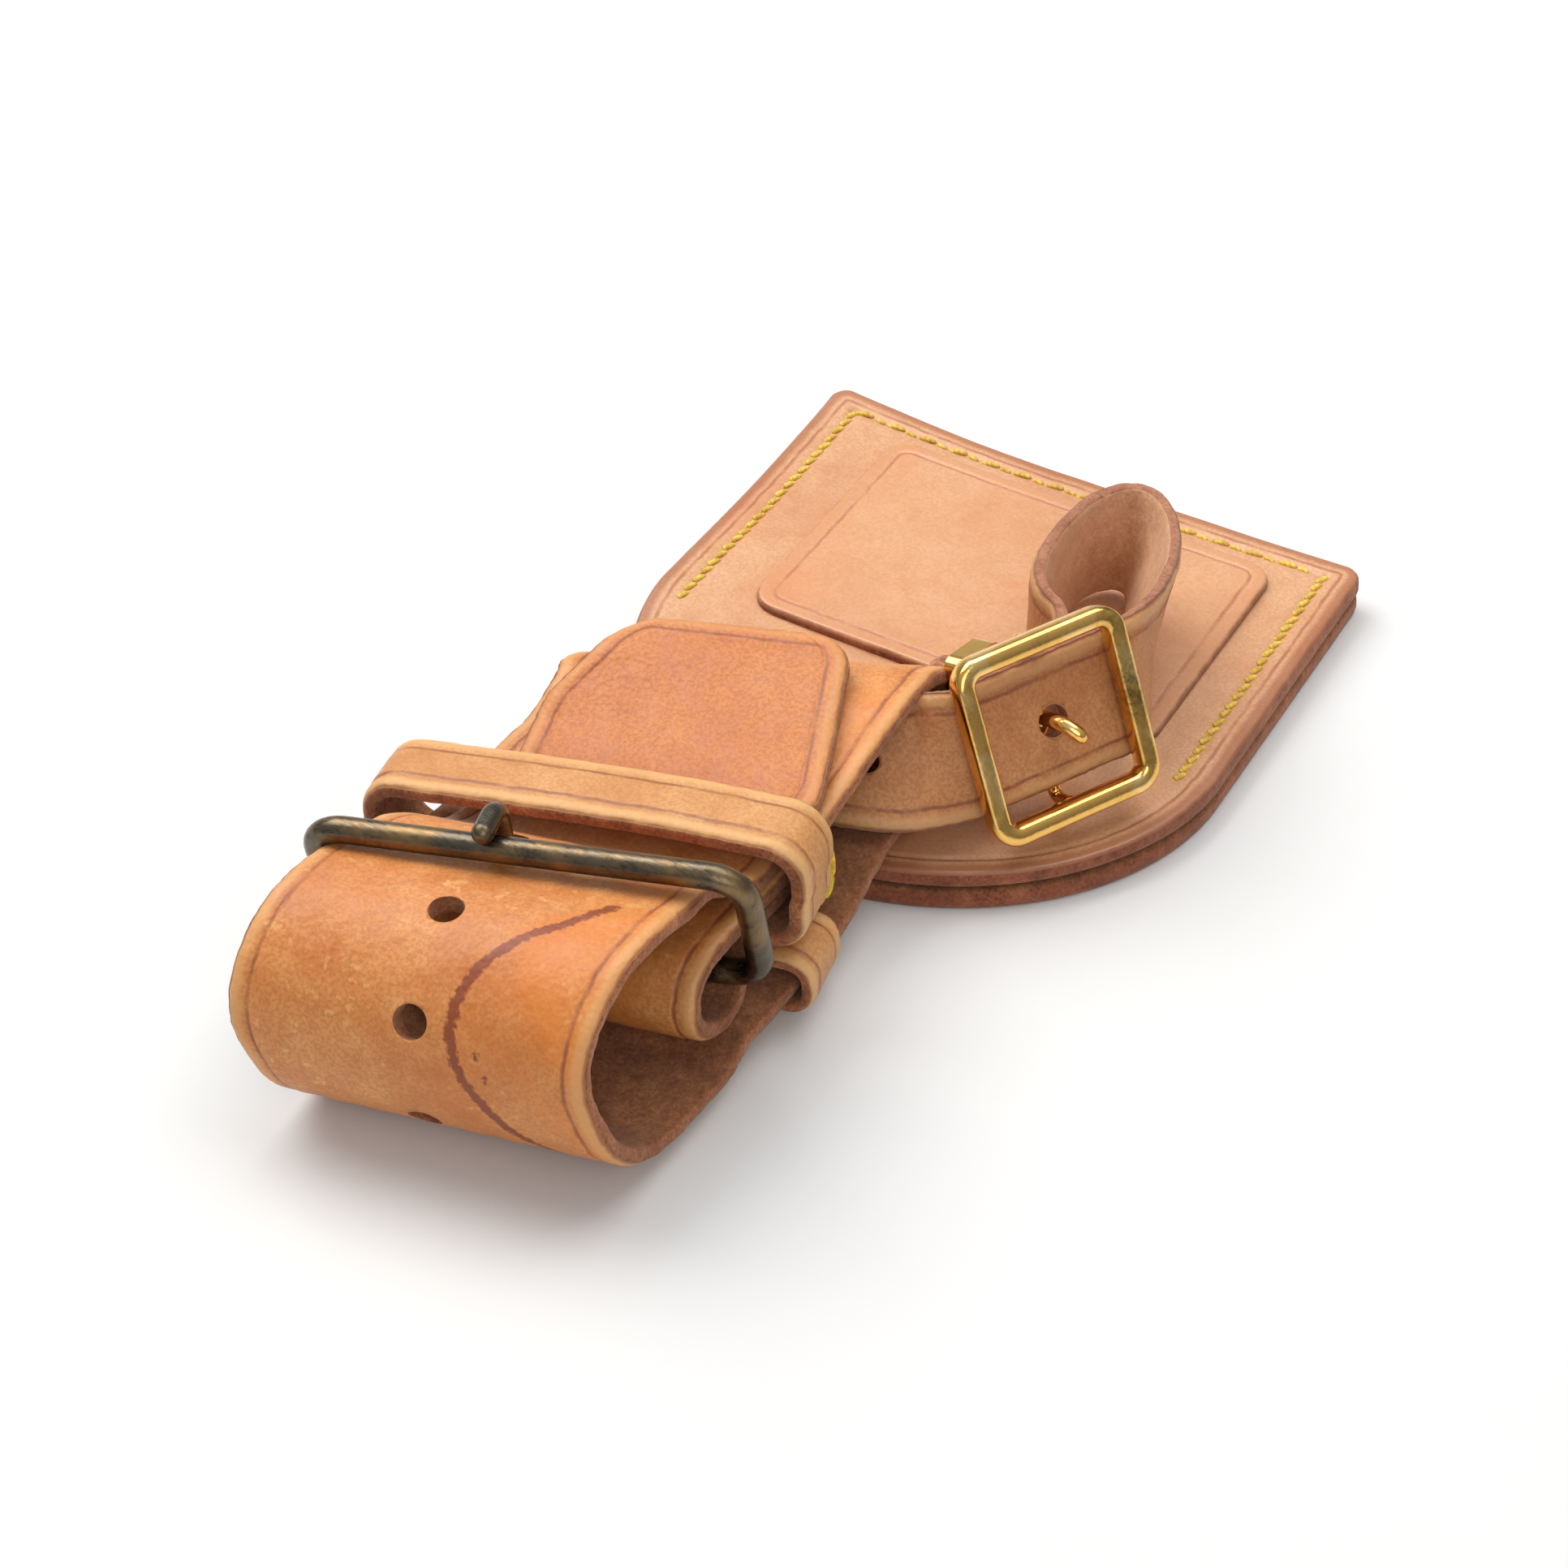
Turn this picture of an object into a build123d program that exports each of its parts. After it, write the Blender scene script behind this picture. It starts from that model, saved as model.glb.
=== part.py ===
"""Tag pocket with a wide handle strap and a narrow strap, each strap with its own buckle.

Millimetres. The tag lies flat on the table (Z = 0), X across and Y along, its mouth toward -Y.
The handle strap lies further toward -Y in a tilted frame of its own (across, along, up).
The narrow strap runs from the tag through a square buckle and round behind it.
"""
from build123d import *
from math import sin, cos, tan, radians, atan2, hypot
import os

os.makedirs("parts", exist_ok=True)

# ---------------------------------------------------------------- main dimensions
# tag pocket
TAG_HALF_W = 34.8
TAG_FAR_Y = 44.2
TAG_SIDE_Y = 2.0           # the straight sides end and the rounded end begins
TAG_NEAR_Y = -30.8
BACK_T = 2.5
TAG_TOP = 5.0

# handle strap
STRAP_YAW = -3.0
STRAP_ROLL = 3.0
STRAP_ORIGIN = Vector(-9.9, -75.0, 1.15)
SKEW = 12.0                # the front bends lie this many degrees out of square
LEATHER = 2.0
STRAP_L, STRAP_R = -18.0, 17.8
BODY_L, BODY_R = -18.4, 17.25

# narrow strap
NARROW_W, NARROW_T = 14.0, 1.8

# square buckle
SQUARE_CENTRE = Vector(21.7, -13.6, 17.5)
SQUARE_W, SQUARE_H = 20.7, 21.2
SQUARE_BAR = 2.8           # width of the frame's bars
SQUARE_T = 2.8

# ---------------------------------------------------------------- frames
yaw, roll, skew = radians(STRAP_YAW), radians(STRAP_ROLL), radians(SKEW)
ACROSS = Vector(cos(yaw) * cos(roll), sin(yaw) * cos(roll), sin(roll))
ALONG = Vector(-sin(yaw), cos(yaw), 0)
UP = ACROSS.cross(ALONG)
BEND_AXIS = ACROSS * cos(skew) + ALONG * sin(skew)
BEND_ALONG = ALONG * cos(skew) - ACROSS * sin(skew)      # square to the bend axis
SIDE = Plane(origin=STRAP_ORIGIN, x_dir=ALONG, z_dir=ACROSS)
SKEW_SIDE = Plane(origin=STRAP_ORIGIN, x_dir=BEND_ALONG, z_dir=BEND_AXIS)
PLAN = Plane(origin=STRAP_ORIGIN, x_dir=ACROSS, z_dir=UP)

SQUARE_X = Vector(0.52, 0.85, 0.07).normalized()
SQUARE_N = Vector(0.75, -0.50, 0.43)
SQUARE_N = (SQUARE_N - SQUARE_X * SQUARE_N.dot(SQUARE_X)).normalized()
SQUARE_Y = SQUARE_N.cross(SQUARE_X)


def skew_point(across, along, up):
    """Point in the handle strap's skewed frame."""
    return STRAP_ORIGIN + BEND_AXIS * across + BEND_ALONG * along + UP * up


def square_point(x, y, z):
    """Point in the square buckle's frame."""
    return SQUARE_CENTRE + SQUARE_X * x + SQUARE_Y * y + SQUARE_N * z


# ---------------------------------------------------------------- helpers
def save(builder, name):
    part = builder.part
    part.label = name
    export_step(part, "parts/" + name + ".step")


def start_plane(path):
    """Plane square to a path at its start."""
    return Plane(origin=path @ 0, z_dir=path % 0)


def left_of(direction):
    return Vector(-direction.Y, direction.X)


def ribbon_outline(points, radii, thickness):
    """Draw the closed outline of a band along a centreline with rounded corners."""
    points = [Vector(*point) for point in points]
    directions = [(b - a).normalized() for a, b in zip(points, points[1:])]
    starts, ends = [], []
    for offset in (thickness / 2, -thickness / 2):
        here = points[0] + left_of(directions[0]) * offset
        starts.append(here)
        for corner, before, after, radius in zip(points[1:-1], directions, directions[1:], radii):
            turn = atan2(before.X * after.Y - before.Y * after.X, before.dot(after))
            sign = 1 if turn > 0 else -1
            tangent = radius * tan(abs(turn) / 2)
            centre = corner - before * tangent + left_of(before) * (sign * radius)
            outward = (left_of(before) + left_of(after)).normalized() * -sign
            arc_start = corner - before * tangent + left_of(before) * offset
            arc_middle = centre + outward * (radius - sign * offset)
            arc_end = corner + after * tangent + left_of(after) * offset
            Line(here, arc_start)
            ThreePointArc(arc_start, arc_middle, arc_end)
            here = arc_end
        ends.append(points[-1] + left_of(directions[-1]) * offset)
        Line(here, ends[-1])
    Line(*starts)
    Line(*ends)


def rounded_plate(centre, size, corner, bottom, thickness, top_fillet=0):
    with BuildPart() as plate:
        with BuildSketch(Plane.XY.offset(bottom)):
            with Locations(centre):
                RectangleRounded(*size, corner)
        extrude(amount=thickness)
        if top_fillet:
            fillet(plate.edges().group_by(Axis.Z)[-1], top_fillet)
    return plate


# ================================================================ TAG POCKET
WINDOW_CENTRE = (0, 20)
WINDOW_W, WINDOW_H = 48, 26
WINDOW_CORNER = 3
FILM_W, FILM_H = WINDOW_W + 6, WINDOW_H + 6
FILM_T = 0.3
FILM_DEPTH = 0.40          # underside of the film below the top of the back panel
REBATE_GAP = 0.2           # round the film's edge

CARD_HALF_W, CARD_Y0, CARD_Y1 = 28.0, -14.0, 36.8
PAD_X0, PAD_X1, PAD_Y0, PAD_Y1 = -23.6, 25.4, 1.2, 38.2

POCKET_W = 57.5
POCKET_H = 0.85            # above the top of the back panel
SLOT_X, SLOT_Y = -3.0, -10.2
SLOT_W, SLOT_H, SLOT_DEPTH = 9.0, 3.2, 1.6

STITCH_X = 31.0
STITCH_FAR_Y = 40.4
STITCH_NEAR_Y = -1.0
STITCH_MID_Y = (STITCH_FAR_Y + STITCH_NEAR_Y) / 2
STITCH_SPAN = STITCH_FAR_Y - STITCH_NEAR_Y
CHANNEL_W, CHANNEL_DEPTH = 1.2, 0.45
THREAD_R = 0.32
SIDE_COUNT, SIDE_LENGTH, SIDE_ANGLE = 22, 1.35, 70
FAR_COUNT, FAR_LENGTH, FAR_X0, FAR_PITCH = 14, 3.1, -28.6, 4.4


def tag_outline():
    """Draw the tag's outline: a half ellipse toward -Y, small rounded corners at +Y."""
    EllipticalCenterArc((0, TAG_SIDE_Y), TAG_HALF_W, TAG_SIDE_Y - TAG_NEAR_Y,
                        start_angle=180, arc_size=180)
    FilletPolyline((-TAG_HALF_W, TAG_SIDE_Y), (-TAG_HALF_W, TAG_FAR_Y),
                   (TAG_HALF_W, TAG_FAR_Y), (TAG_HALF_W, TAG_SIDE_Y), radius=2.5)


# back panel with a window cut through it and a rebate for the clear film
with BuildPart() as back_panel:
    with BuildSketch(Plane.XY):
        with BuildLine():
            tag_outline()
        make_face()
    extrude(amount=BACK_T - 0.02)
    chamfer(back_panel.edges().group_by(Axis.Z)[0], 0.35)
    with BuildSketch(Plane.XY.offset(-1)):
        with Locations(WINDOW_CENTRE):
            RectangleRounded(WINDOW_W, WINDOW_H, WINDOW_CORNER)
    extrude(amount=5, mode=Mode.SUBTRACT)
    with BuildSketch(Plane.XY.offset(BACK_T - FILM_DEPTH - 0.02)):
        with Locations(WINDOW_CENTRE):
            RectangleRounded(FILM_W + 2 * REBATE_GAP, FILM_H + 2 * REBATE_GAP, WINDOW_CORNER)
    extrude(amount=2, mode=Mode.SUBTRACT)
save(back_panel, "back_panel")

window_film = rounded_plate(WINDOW_CENTRE, (FILM_W, FILM_H), corner=WINDOW_CORNER,
                            bottom=BACK_T - FILM_DEPTH, thickness=FILM_T)
save(window_film, "window_film")

# the card lies in the pocket
name_card = rounded_plate((0, (CARD_Y0 + CARD_Y1) / 2), (2 * CARD_HALF_W, CARD_Y1 - CARD_Y0),
                          corner=4, bottom=BACK_T + 0.25, thickness=0.4)
save(name_card, "name_card")

with BuildPart() as front_panel:
    with BuildSketch(Plane.XY.offset(BACK_T)):
        with BuildLine():
            tag_outline()
        make_face()
    extrude(amount=TAG_TOP - BACK_T)
    fillet(front_panel.edges().group_by(Axis.Z)[-1], 0.5)
    # pocket recess on the underside, run out past the rounded end
    with BuildSketch(Plane.XY.offset(BACK_T - 0.5)):
        with Locations((0, 3.75)):
            Rectangle(POCKET_W, 68.5)
        with Locations((0, -25)):
            Rectangle(POCKET_W, 20)
    extrude(amount=0.5 + POCKET_H, mode=Mode.SUBTRACT)
    # stitch channel on three sides
    with BuildSketch(Plane.XY.offset(TAG_TOP - CHANNEL_DEPTH)):
        with Locations((0, STITCH_MID_Y + 0.3)):
            Rectangle(2 * STITCH_X + CHANNEL_W, STITCH_SPAN + 1.8)
        with Locations((0, STITCH_MID_Y - 1.2)):
            Rectangle(2 * STITCH_X - CHANNEL_W, STITCH_SPAN + 1.2, mode=Mode.SUBTRACT)
    extrude(amount=1, mode=Mode.SUBTRACT)
    # slot for the end of the narrow strap
    with BuildSketch(Plane.XY.offset(TAG_TOP - SLOT_DEPTH)):
        with Locations((SLOT_X, SLOT_Y)):
            Rectangle(SLOT_W, SLOT_H)
    extrude(amount=3, mode=Mode.SUBTRACT)
save(front_panel, "front_panel")

raised_pad = rounded_plate(((PAD_X0 + PAD_X1) / 2, (PAD_Y0 + PAD_Y1) / 2),
                           (PAD_X1 - PAD_X0, PAD_Y1 - PAD_Y0),
                           corner=4, bottom=TAG_TOP, thickness=1.4, top_fillet=0.6)
save(raised_pad, "raised_pad")


def stitch_place(x, y, angle):
    """Location whose axis lies flat in the channel, angle degrees from +X."""
    return Plane(origin=(x, y, TAG_TOP - 0.02), x_dir=(0, 0, 1),
                 z_dir=(cos(radians(angle)), sin(radians(angle)), 0)).location


def stitch_row(places, length):
    with BuildPart() as row:
        with Locations(places):
            Cylinder(THREAD_R, length)
    return row


side_pitch = (STITCH_SPAN - 2.2) / (SIDE_COUNT - 1)
for side_name, x in (("left", -STITCH_X), ("right", STITCH_X)):
    side_places = [stitch_place(x, STITCH_NEAR_Y + 0.4 + i * side_pitch, SIDE_ANGLE)
                   for i in range(SIDE_COUNT)]
    save(stitch_row(side_places, SIDE_LENGTH), "stitching_" + side_name)
far_places = [stitch_place(FAR_X0 + i * FAR_PITCH, STITCH_FAR_Y + 0.6, 0)
              for i in range(FAR_COUNT)]
save(stitch_row(far_places, FAR_LENGTH), "stitching_far")

# ================================================================ HANDLE STRAP
# _S places are along the strap, _N heights are up from it, both on the leather's centreline
LOOP_R = 11.1                        # front loop
LOOP_S = 1.6                         # bend centre of the front loop
BOTTOM_N = LEATHER / 2
TOP_N = BOTTOM_N + 2 * LOOP_R        # top of the front loop
BAR_N = 21.95                        # under the front bar of the wire buckle
KEEPER_N = 16.06                     # top run inside the top keeper
BODY_N = 14.0
SLOPE_S = 30.0                       # the body's upper layer climbs from here ...
BACK_S, BACK_N = 50.0, 19.8          # ... to here, before the back bend
BACK_R = 6.65
END_S = 60.9                         # back bend
HINGE_S, HINGE_N = 35.2, 17.65       # where the tip flap begins
FOLD_R = 4.7                         # fold round the pivot bar
FOLD_S = 8.4
TUCK_N = 11.9                        # turned-back end of the fold
TIP_L, TIP_R = -13.9, 16.4
BEND_EASE = 0.001                    # keeps a sliver of straight between two bends


def strap_band(side_plane, path, radii, draw_plan, plan_up=-20):
    """Ribbon along a side-view path of (along, up) points, trimmed to a plan outline."""
    with BuildPart() as band:
        with BuildSketch(side_plane):
            with BuildLine():
                ribbon_outline(path, radii, LEATHER)
            make_face()
        extrude(amount=40, both=True)
        with BuildSketch(PLAN.offset(plan_up)):
            with BuildLine():
                draw_plan()
            make_face()
        extrude(amount=60, mode=Mode.INTERSECT)
    return band.part


# plan outlines, in (across, along)
def plan_rectangle(left, right, near, far):
    Polyline((left, near), (left, far), (right, far), (right, near), (left, near))


def top_run_plan():
    Polyline((STRAP_L, -10), (STRAP_L, 9), (-14.4, 29.2), (16.5, 29.2),
             (STRAP_R, 14), (STRAP_R, -10), (STRAP_L, -10))


def hinge_plan():
    Polyline((-14.9, 26.0), (-14.4, 29.2), (TIP_L, 34.3), (TIP_L, 60),
             (TIP_R, 60), (TIP_R, 30), (16.7, 26.0), (-14.9, 26.0))


def tip_plan():
    FilletPolyline((TIP_L, 25.0), (TIP_L, 48.6), (8.8, 56.2), (TIP_R, 37.0), (TIP_R, 25.0),
                   radius=4.2)
    Line((TIP_R, 25.0), (TIP_L, 25.0))


# front loop, square to the bend axis
front_loop = strap_band(
    SKEW_SIDE,
    [(4.0, TOP_N), (LOOP_S - LOOP_R, TOP_N), (LOOP_S - LOOP_R, BOTTOM_N), (12.4, BOTTOM_N)],
    [LOOP_R - BEND_EASE] * 2,
    lambda: plan_rectangle(STRAP_L, STRAP_R, -52, 8))

# top run: over the loop, under the front bar and down into the top keeper
top_run = strap_band(
    SKEW_SIDE,
    [(1.7, TOP_N), (4.6, TOP_N), (9.6, BAR_N), (13.2, BAR_N), (20.2, KEEPER_N), (31.5, KEEPER_N)],
    [8, 8, 5, 4],
    top_run_plan)

# short run square to the strap, joining the top run to the tip flap
hinge_run = strap_band(
    SIDE, [(26.0, KEEPER_N), (29.7, KEEPER_N), (HINGE_S, HINGE_N)], [6], hinge_plan)

# bottom run, back bend and body; the left edge of the bottom run is trimmed to a taper
with BuildPart() as body_run:
    add(strap_band(
        SIDE,
        [(7.9, BOTTOM_N), (10.2, BOTTOM_N), (15.0, 2.5), (33.0, 2.5), (43.8, 6.4), (END_S, 6.4),
         (END_S, BACK_N), (BACK_S, BACK_N), (SLOPE_S, BODY_N), (19.5, BODY_N)],
        [8, 8, 12, 12, BACK_R, BACK_R, 12, 12],
        lambda: plan_rectangle(BODY_L, BODY_R, -20, 100)))
    with BuildSketch(PLAN.offset(-20)):
        with BuildLine():
            Polyline((BODY_L - 1, -20), (BODY_L - 1, 60), (BODY_L, 55),
                     (STRAP_L, 30), (STRAP_L, -20), (BODY_L - 1, -20))
        make_face()
    extrude(amount=29.0, mode=Mode.SUBTRACT)

# fold round the pivot bar, its short end turned back under the body
fold_run = strap_band(
    SKEW_SIDE,
    [(24.5, BODY_N), (FOLD_S, BODY_N), (FOLD_S, BODY_N - 2 * FOLD_R),
     (15.6, BODY_N - 2 * FOLD_R), (19.6, TUCK_N), (31.0, TUCK_N)],
    [FOLD_R - BEND_EASE, FOLD_R - BEND_EASE, 2.6, 2.6],
    lambda: plan_rectangle(BODY_L, BODY_R, -30, 70))

PRONG_ACROSS = -1.0
HOLE_ACROSS = -1.2
HOLE_R = 1.75
HOLE_START_R = 8.6                   # hole cuts start this far from the loop's centre
HOLE_ANGLES = (94, 150, 212)         # top, front and underside of the loop

with BuildPart() as handle_strap:
    for run in (front_loop, top_run, hinge_run, body_run.part, fold_run):
        add(run)
    # slot for the prong through the fold
    with BuildSketch(Plane(origin=skew_point(PRONG_ACROSS, 0, 4.8), x_dir=BEND_AXIS, z_dir=UP)):
        with Locations((0, 13.2)):
            Rectangle(4.0, 5.2)
    extrude(amount=11.5, mode=Mode.SUBTRACT)
    # hole the prong stands in, through the top run
    with BuildSketch(Plane(origin=skew_point(PRONG_ACROSS, 12.8, 17.2), x_dir=BEND_AXIS, z_dir=UP)):
        SlotOverall(6.4, 4.4, rotation=90)
    extrude(amount=8, mode=Mode.SUBTRACT)
    # adjusting holes round the loop
    for hole_angle in HOLE_ANGLES:
        cos_hole, sin_hole = cos(radians(hole_angle)), sin(radians(hole_angle))
        hole_origin = skew_point(HOLE_ACROSS, LOOP_S + HOLE_START_R * cos_hole,
                                 BOTTOM_N + LOOP_R + HOLE_START_R * sin_hole)
        with BuildSketch(Plane(origin=hole_origin, x_dir=BEND_AXIS,
                               z_dir=BEND_ALONG * cos_hole + UP * sin_hole)):
            Circle(HOLE_R)
        extrude(amount=5, mode=Mode.SUBTRACT)
save(handle_strap, "handle_strap")

# tip flap, free beyond the top keeper, parallel to the body's climb at first
tip_slope = (BACK_N - BODY_N) / (BACK_S - SLOPE_S)
TIP_GAP = 0.12
TIP_BEND_S = 50.8
with BuildPart() as strap_tip:
    add(strap_band(
        SIDE,
        [(HINGE_S + TIP_GAP, HINGE_N + TIP_GAP * tip_slope),
         (TIP_BEND_S, HINGE_N + (TIP_BEND_S - HINGE_S) * tip_slope), (60.0, 22.45)],
        [20], tip_plan, plan_up=-5))
save(strap_tip, "strap_tip")

# ================================================================ WIRE BUCKLE
# the frame lies further skewed in the fold: WIRE_X along its bars, WIRE_Y across them
WIRE_R = 1.35
WIRE_SKEW = radians(6.2)
WIRE_X = BEND_AXIS * cos(WIRE_SKEW) + BEND_ALONG * sin(WIRE_SKEW)
WIRE_Y = BEND_ALONG * cos(WIRE_SKEW) - BEND_AXIS * sin(WIRE_SKEW)
PIVOT = skew_point(2.3, 13.45, 9.3)
BAR_Y, BAR_UP = -4.5, 15.9           # front bar from the pivot bar
FRAME_HALF_W = 21.6
FRAME_H = hypot(BAR_Y, BAR_UP)
FRAME_CORNER = 3.6

frame_rise = (WIRE_Y * BAR_Y + UP * BAR_UP).normalized()
FRAME_PLANE = Plane(origin=PIVOT, x_dir=WIRE_X, z_dir=WIRE_X.cross(frame_rise))
with BuildPart() as handle_buckle_frame:
    with BuildLine(FRAME_PLANE) as frame_path:
        FilletPolyline((0, 0), (FRAME_HALF_W, 0), (FRAME_HALF_W, FRAME_H), (0, FRAME_H),
                       radius=FRAME_CORNER)
        FilletPolyline((0, FRAME_H), (-FRAME_HALF_W, FRAME_H), (-FRAME_HALF_W, 0), (0, 0),
                       radius=FRAME_CORNER)
    with BuildSketch(Plane(origin=FRAME_PLANE.origin, z_dir=FRAME_PLANE.x_dir)):
        Circle(WIRE_R)
    sweep(path=frame_path.wire())
save(handle_buckle_frame, "handle_buckle_frame")

# prong: eye round the pivot bar, shank up through both layers, tip over the front bar
PRONG_PLANE = Plane(origin=PIVOT - WIRE_X * 3.4, x_dir=WIRE_Y, z_dir=WIRE_X)
PRONG_R = 1.1
with BuildPart() as handle_buckle_prong:
    with BuildSketch(PRONG_PLANE):
        Circle(2.45)
    extrude(amount=1.4, both=True)
    with BuildLine(PRONG_PLANE) as prong_path:
        FilletPolyline((0.4, 1.6), (BAR_Y + 3.05, BAR_UP + 2.7), (BAR_Y - 1.2, BAR_UP + 2.85),
                       radius=2.0)
    with BuildSketch(start_plane(prong_path.wire())):
        Circle(PRONG_R)
    sweep(path=prong_path.wire())
    with Locations(Location(prong_path.wire() @ 1)):
        Sphere(PRONG_R)
    with BuildSketch(PRONG_PLANE):
        Circle(WIRE_R + 0.08)
    extrude(amount=5, both=True, mode=Mode.SUBTRACT)
save(handle_buckle_prong, "handle_buckle_prong")


# ================================================================ LEATHER KEEPERS
def keeper_band(start, length, left, right, low, high, thickness, radius):
    """Flat rounded band round the strap; left to radius describe its opening and wall."""
    centre = skew_point((left + right) / 2, start, (low + high) / 2)
    width, height = right - left, high - low
    with BuildPart() as band:
        with BuildSketch(Plane(origin=centre, x_dir=BEND_AXIS, z_dir=BEND_ALONG)):
            RectangleRounded(width + 2 * thickness, height + 2 * thickness, radius + thickness)
            RectangleRounded(width, height, radius, mode=Mode.SUBTRACT)
        extrude(amount=length)
    return band


save(keeper_band(start=20.3, length=8.2, left=-18.8, right=24.8, low=10.6, high=19.15,
                 thickness=1.9, radius=2.2), "top_keeper")
save(keeper_band(start=21.0, length=8.6, left=-15.0, right=25.4, low=1.42, high=5.6,
                 thickness=1.4, radius=1.4), "lower_keeper")

# two loops of heavy thread round the right edge of the strap, in (across, up)
THREAD_LOOP = [(16.9, 18.1), (17.9, 18.1), (17.9, 10.3), (16.9, 10.3)]
with BuildPart() as keeper_stitches:
    for along in (35.6, 35.6 + 1.15):
        with BuildLine(Plane(origin=STRAP_ORIGIN + ALONG * along, x_dir=ACROSS,
                             z_dir=ACROSS.cross(UP))) as thread_path:
            FilletPolyline(*THREAD_LOOP, radius=0.8)
        with BuildSketch(start_plane(thread_path.wire())):
            Circle(0.45)
        sweep(path=thread_path.wire())
save(keeper_stitches, "keeper_stitches")


# ================================================================ NARROW STRAP
def blend(a, b, share):
    return (a * (1 - share) + b * share).normalized()


UPRIGHT = Vector(0, 0, 1)
TAIL = Vector(0, 0.75, 0.661)

# centre point, direction of the strap's width; from the free tail to the slot in the tag
STATIONS = [
    ((-3.4, -26.5, 14.7), TAIL),
    ((1.6, -26.3, 14.75), TAIL),
    ((5.6, -25.7, 14.85), TAIL),
    ((8.8, -24.45, 14.85), blend(TAIL, SQUARE_Y, 0.03)),
    ((10.4, -23.1, 14.95), blend(TAIL, SQUARE_Y, 0.1)),
    ((12.4, -21.8, 15.3), blend(TAIL, SQUARE_Y, 0.6)),
    (square_point(-9.4, 0, -2.6), SQUARE_Y),
    (square_point(-5.0, 0, -2.6), SQUARE_Y),
    (square_point(5.0, 0, -2.6), SQUARE_Y),
    (square_point(9.6, 0, -2.6), SQUARE_Y),
    ((25.0, 0.2, 16.4), blend(SQUARE_Y, UPRIGHT, 0.3)),
    ((24.2, 6.0, 15.4), blend(SQUARE_Y, UPRIGHT, 0.7)),
    ((22.2, 13.2, 14.3), UPRIGHT),
    ((19.6, 20.0, 13.8), UPRIGHT),
    ((17.6, 23.4, 13.7), UPRIGHT),
    ((15.2, 25.4, 13.7), UPRIGHT),
    ((12.6, 25.6, 13.7), UPRIGHT),
    ((10.4, 24.0, 13.7), UPRIGHT),
    ((9.0, 20.8, 13.7), UPRIGHT),
    ((8.5, 16.0, 13.7), UPRIGHT),
    ((8.9, 11.0, 13.7), UPRIGHT),
    ((10.0, 7.6, 13.7), UPRIGHT),
    ((12.2, 5.6, 13.8), UPRIGHT),
    ((15.0, 5.0, 14.0), blend(SQUARE_Y, UPRIGHT, 0.85)),
    ((17.6, 4.0, 14.3), blend(SQUARE_Y, UPRIGHT, 0.6)),
    ((19.2, 1.6, 14.6), blend(SQUARE_Y, UPRIGHT, 0.4)),
    ((19.7, -1.8, 14.9), blend(SQUARE_Y, UPRIGHT, 0.2)),
    (square_point(4.5, 0, -6.9), SQUARE_Y),
    (square_point(0.0, 0, -6.7), SQUARE_Y),
    (square_point(-4.6, 0, -6.9), blend(SQUARE_Y, UPRIGHT, 0.15)),
    ((11.3, -13.6, 13.5), blend(SQUARE_Y, UPRIGHT, 0.75)),
    ((8.6, -12.0, 12.9), UPRIGHT),
    ((5.0, -11.0, 12.5), UPRIGHT),
    ((1.0, -10.5, 12.4), UPRIGHT),
    ((-2.5, -10.2, 12.3), UPRIGHT),
    ((-6.5, -10.2, 12.3), UPRIGHT),
]
CENTRES = [Vector(point) for point, _ in STATIONS]
WIDTHS = [width for _, width in STATIONS]
TAIL_HOLE_STATION = 3
KEEPER_STATION = 29        # the metal keeper sits between this station and the next


def square_off(direction, width):
    """Direction with its component along the strap's width taken out."""
    return (direction - width * direction.dot(width)).normalized()


def station_plane(i):
    """Cross-section plane, square to the mean direction of the runs before and after."""
    last = len(CENTRES) - 1
    before = CENTRES[max(i - 1, 0)]
    after = CENTRES[min(i + 1, last)]
    if 0 < i < last:
        heading = (CENTRES[i] - before).normalized() + (after - CENTRES[i]).normalized()
    else:
        heading = after - before
    return Plane(origin=CENTRES[i], x_dir=WIDTHS[i],
                 z_dir=square_off(heading.normalized(), WIDTHS[i]))


with BuildPart() as tag_strap:
    for i in range(len(STATIONS)):
        with BuildSketch(station_plane(i)):
            Rectangle(NARROW_W, NARROW_T)
    loft(ruled=True)
    # end turned down into the slot in the front panel
    with Locations(Vector(SLOT_X + 0.3, SLOT_Y, 4.9)):
        Box(7.0, NARROW_T, 2.6)
    # prong hole and the next adjusting hole along the tail
    with BuildSketch(Plane(origin=square_point(0.5, 0, -5), x_dir=SQUARE_X, z_dir=SQUARE_N)):
        Circle(1.8)
    extrude(amount=5, mode=Mode.SUBTRACT)
    tail_plane = station_plane(TAIL_HOLE_STATION)
    with BuildSketch(Plane(origin=CENTRES[TAIL_HOLE_STATION] - tail_plane.y_dir * 3,
                           x_dir=tail_plane.x_dir, z_dir=tail_plane.y_dir)):
        Circle(1.3)
    extrude(amount=6, mode=Mode.SUBTRACT)
save(tag_strap, "tag_strap")

# ================================================================ SQUARE BUCKLE
PIVOT_Z = -4.35            # pivot bar, behind the frame
PIVOT_HALF_W = 9.1
PIVOT_R = 0.75
PIVOT_TOP = -SQUARE_T / 2 - 0.01


def on_front_face(edge):
    height = (edge.center() - SQUARE_CENTRE).dot(SQUARE_N)
    return abs(height - SQUARE_T / 2) < 0.05


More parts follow.
